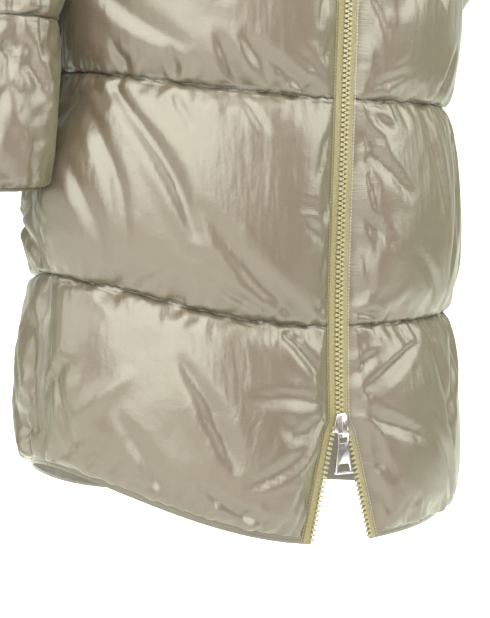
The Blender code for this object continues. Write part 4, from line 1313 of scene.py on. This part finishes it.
def soften(node, name, body):
    """A merged copy of a packed metal piece, with small round edges."""
    build = bmesh.new()
    build.from_mesh(bpy.data.objects[node].data)
    bmesh.ops.remove_doubles(build, verts=build.verts, dist=1e-6)
    bmesh.ops.dissolve_limit(build, angle_limit=FLAT, verts=build.verts, edges=build.edges)
    sharp = [e for e in build.edges if len(e.link_faces) == 2 and e.calc_face_angle(0) > SHARP]
    bmesh.ops.bevel(build, geom=sharp, offset=METAL_EDGE, offset_type="OFFSET", affect="EDGES",
                    segments=2, profile=0.5, material=-1, clamp_overlap=True)
    dress(add_object(name, build, nickel), node, body)


for end in ("lower", "upper"):
    soften("slider_" + end, "slider_" + end + "_polished", "coat")
    soften("pull_" + end, "pull_" + end + "_polished", end + "_pull")
print("softened 2 sliders and 2 pulls")

# %% [markdown]
# ## Pocket bags
# Each side seam stays open for a hand. What shows behind the mouth is the pocket's own bag, a single
# layer of thin cloth that hangs inside the front panel. Its near-black colour is painted shade, for
# the deep shadow in the gap between the sleeve and the pocket.

# %% The pocket bags
POCKET_BAG_REACH = math.radians(38)
POCKET_BAG_GAP = 0.0006
POCKET_BAG_CLOTH = 0.0006
POCKET_BAG_RIPPLE = 0.0005
painted_shade_lining, tree, shader = new_material("pocket_taffeta_painted_shade")  # a plain weave with a dull shine
threads = add_bands(tree, cloth_map(tree), 0.0012, "DIAGONAL")
# painted shade: the bag is real cloth, but these near-black shades stand in for the deep shadow in the
# pocket gap
grain_finish(tree, shader, threads, ("#1b1813", "#2b2720"), FINE, 0.5, {"Roughness": 0.6})


def lay_pocket_bag(name, side):
    """The bag's cloth, under the front panel and a little past the side seam."""
    reach = np.linspace(-0.05, 1.0, 22)
    angle = (math.pi / 2 - reach * POCKET_BAG_REACH) * side
    heights = np.linspace(POCKET_BOTTOM - 0.055, POCKET_TOP + 0.012, 46)
    levels = np.linspace(HEM, UNDERARM, 1201)
    columns = [np.interp(heights, body_point(levels, turn)[:, 2], levels) for turn in angle]
    level = np.array(columns).T
    surface, normal = body_point(level, angle), body_normal(level, angle)
    across, height = along_grid(surface, 1), along_grid(surface, 0)
    ripple = POCKET_BAG_RIPPLE * soft_noise(across, height, 0.022, 0.060, 71)
    surface = surface - normal * (POCKET_BAG_GAP + POCKET_BAG_RIPPLE + ripple)[..., None]
    return lay_sheet(name, surface, normal, POCKET_BAG_CLOTH, painted_shade_lining)


for side, name in ((-1, "right"), (1, "left")):
    bag, flat = lay_pocket_bag("pocket_bag_" + name + "_cloth", side)
    dress(bag, "pocket_bag_" + name)

# %% [markdown]
# ## Floor, light and camera
# The floor is a pale sheet that curves up behind the jacket, like a photographer's paper roll. The
# largest soft light stands high in front and to the left, so that the upper half of every baffle
# carries the pale sheen and the lower half keeps its own colour. Three smaller ones, from both sides
# and from above, lift the folds that it leaves dark, and a last one lights the paper. A white world
# fills the shadows.

# %% Stage
FLOOR_HEIGHT = -1.38
WALL_HEIGHT = 2.6  # above the curve of the paper
CURVE_RADIUS = 1.5
AZIMUTH = math.radians(-35.9)  # the side that the camera stands on
UP = Vector((0.0, 0.0, 1.0))
paper, tree, shader = new_material("white_paper_roll")  # matt
feed(tree, shader, {"Base Color": colour("#f7f7f5"), "Roughness": 0.9})
build = bmesh.new()
bmesh.ops.create_grid(build, x_segments=1, y_segments=1, size=4.0)
turn = Matrix.Rotation(AZIMUTH, 3, "Z")
bmesh.ops.rotate(build, verts=build.verts, cent=(0, 0, 0), matrix=turn)
bmesh.ops.translate(build, verts=build.verts, vec=UP * FLOOR_HEIGHT)
back_of_stage = Vector((-math.sin(AZIMUTH), math.cos(AZIMUTH), 0.0))
far_edge = max(build.edges, key=lambda edge: sum(v.co.dot(back_of_stage) for v in edge.verts))
edge_middle = sum((v.co for v in far_edge.verts), Vector()) / 2
bmesh.ops.spin(
    build,
    geom=[far_edge, *far_edge.verts],
    cent=edge_middle + UP * CURVE_RADIUS,
    axis=back_of_stage.cross(UP),
    dvec=(0, 0, 0),
    angle=math.radians(90),
    steps=24,
    use_merge=False,
    use_duplicate=False,
)
highest = max(build.edges, key=lambda edge: sum(v.co.z for v in edge.verts))
wall = bmesh.ops.extrude_edge_only(build, edges=[highest])["geom"]
wall = [v for v in wall if isinstance(v, bmesh.types.BMVert)]
bmesh.ops.translate(build, verts=wall, vec=UP * WALL_HEIGHT)
bmesh.ops.recalc_face_normals(build, faces=build.faces)
if build.faces[0].normal.z < 0:
    bmesh.ops.reverse_faces(build, faces=build.faces)
for face in build.faces:
    face.smooth = True
paper_roll = link_object("paper_roll", to_mesh("paper_roll", build))
paper_roll.data.materials.append(paper)
corners = [[round(side, 2) for side in paper_roll.bound_box[corner]] for corner in (0, 6)]
print("paper roll from", corners[0], "to", corners[1])

# %% Light
AIM = Vector((0.0, 0.0, -0.6))  # the middle of what the camera sees
bpy.context.scene.view_settings.view_transform = "Standard"
world = bpy.data.worlds.new("studio")
world.use_nodes = True
background = world.node_tree.nodes["Background"]
feed(world.node_tree, background, {"Color": colour("#ffffff"), "Strength": 0.30})
bpy.context.scene.world = world


def add_light(name, place, target, size, power):
    """A soft light of this width and height in metres, turned to its target."""
    lamp = bpy.data.lights.new(name, "AREA")
    lamp.shape = "RECTANGLE"
    lamp.size, lamp.size_y = size
    lamp.energy = power
    made = link_object(name, lamp)
    made.location = place
    made.rotation_euler = (Vector(target) - Vector(place)).to_track_quat("-Z", "Y").to_euler()


def around(azimuth, elevation, distance):
    """A place around the jacket; azimuth 0 is straight in front, and grows towards its left."""
    azimuth, elevation = math.radians(azimuth), math.radians(elevation)
    flat = distance * math.cos(elevation)
    return (flat * math.sin(azimuth), -flat * math.cos(azimuth), distance * math.sin(elevation) + AIM.z)


for name, place, target, size, power in (
    ("big_softbox", around(-42, 27, 2.8), AIM, (3.9, 3.2), 200),
    ("left_softbox", around(-108, 18, 2.8), AIM, (2.0, 2.4), 48),
    ("side_softbox", around(46, 30, 2.6), AIM, (2.2, 2.4), 72),
    ("overhead_softbox", (-0.7, -0.9, 2.0), AIM, (3.0, 2.2), 42),
    ("paper_light", back_of_stage * 1.2 + UP * 1.6, back_of_stage * 4.0 - UP * 0.8, (3.0, 1.0), 220),
):
    add_light(name, place, target, size, power)
print("lights", len(bpy.data.lights))

# %% Camera
PITCH, ROLL = math.radians(4.5), math.radians(1.13)
DISTANCE = 1.972
FOCAL_PIXELS = 2000  # the focal length, in pixels of a picture that is this high:
PICTURE_HEIGHT = 618
SENSOR = 36
TARGET = Vector((0.0, 0.0, -0.662))
flat = math.cos(PITCH)
toward = Vector((math.sin(AZIMUTH) * flat, -math.cos(AZIMUTH) * flat, math.sin(PITCH)))
level_right = Vector((math.cos(AZIMUTH), math.sin(AZIMUTH), 0.0))
level_up = toward.cross(level_right)
right = level_right * math.cos(ROLL) + level_up * math.sin(ROLL)
upward = level_up * math.cos(ROLL) - level_right * math.sin(ROLL)
camera = link_object("camera", bpy.data.cameras.new("camera"))
camera.data.sensor_width = SENSOR
camera.data.lens = FOCAL_PIXELS / PICTURE_HEIGHT * SENSOR
turn = Matrix((right, upward, toward)).transposed().to_4x4()
camera.matrix_world = Matrix.Translation(TARGET + toward * DISTANCE) @ turn
bpy.context.scene.camera = camera
print("camera", [round(side, 3) for side in camera.matrix_world.translation])
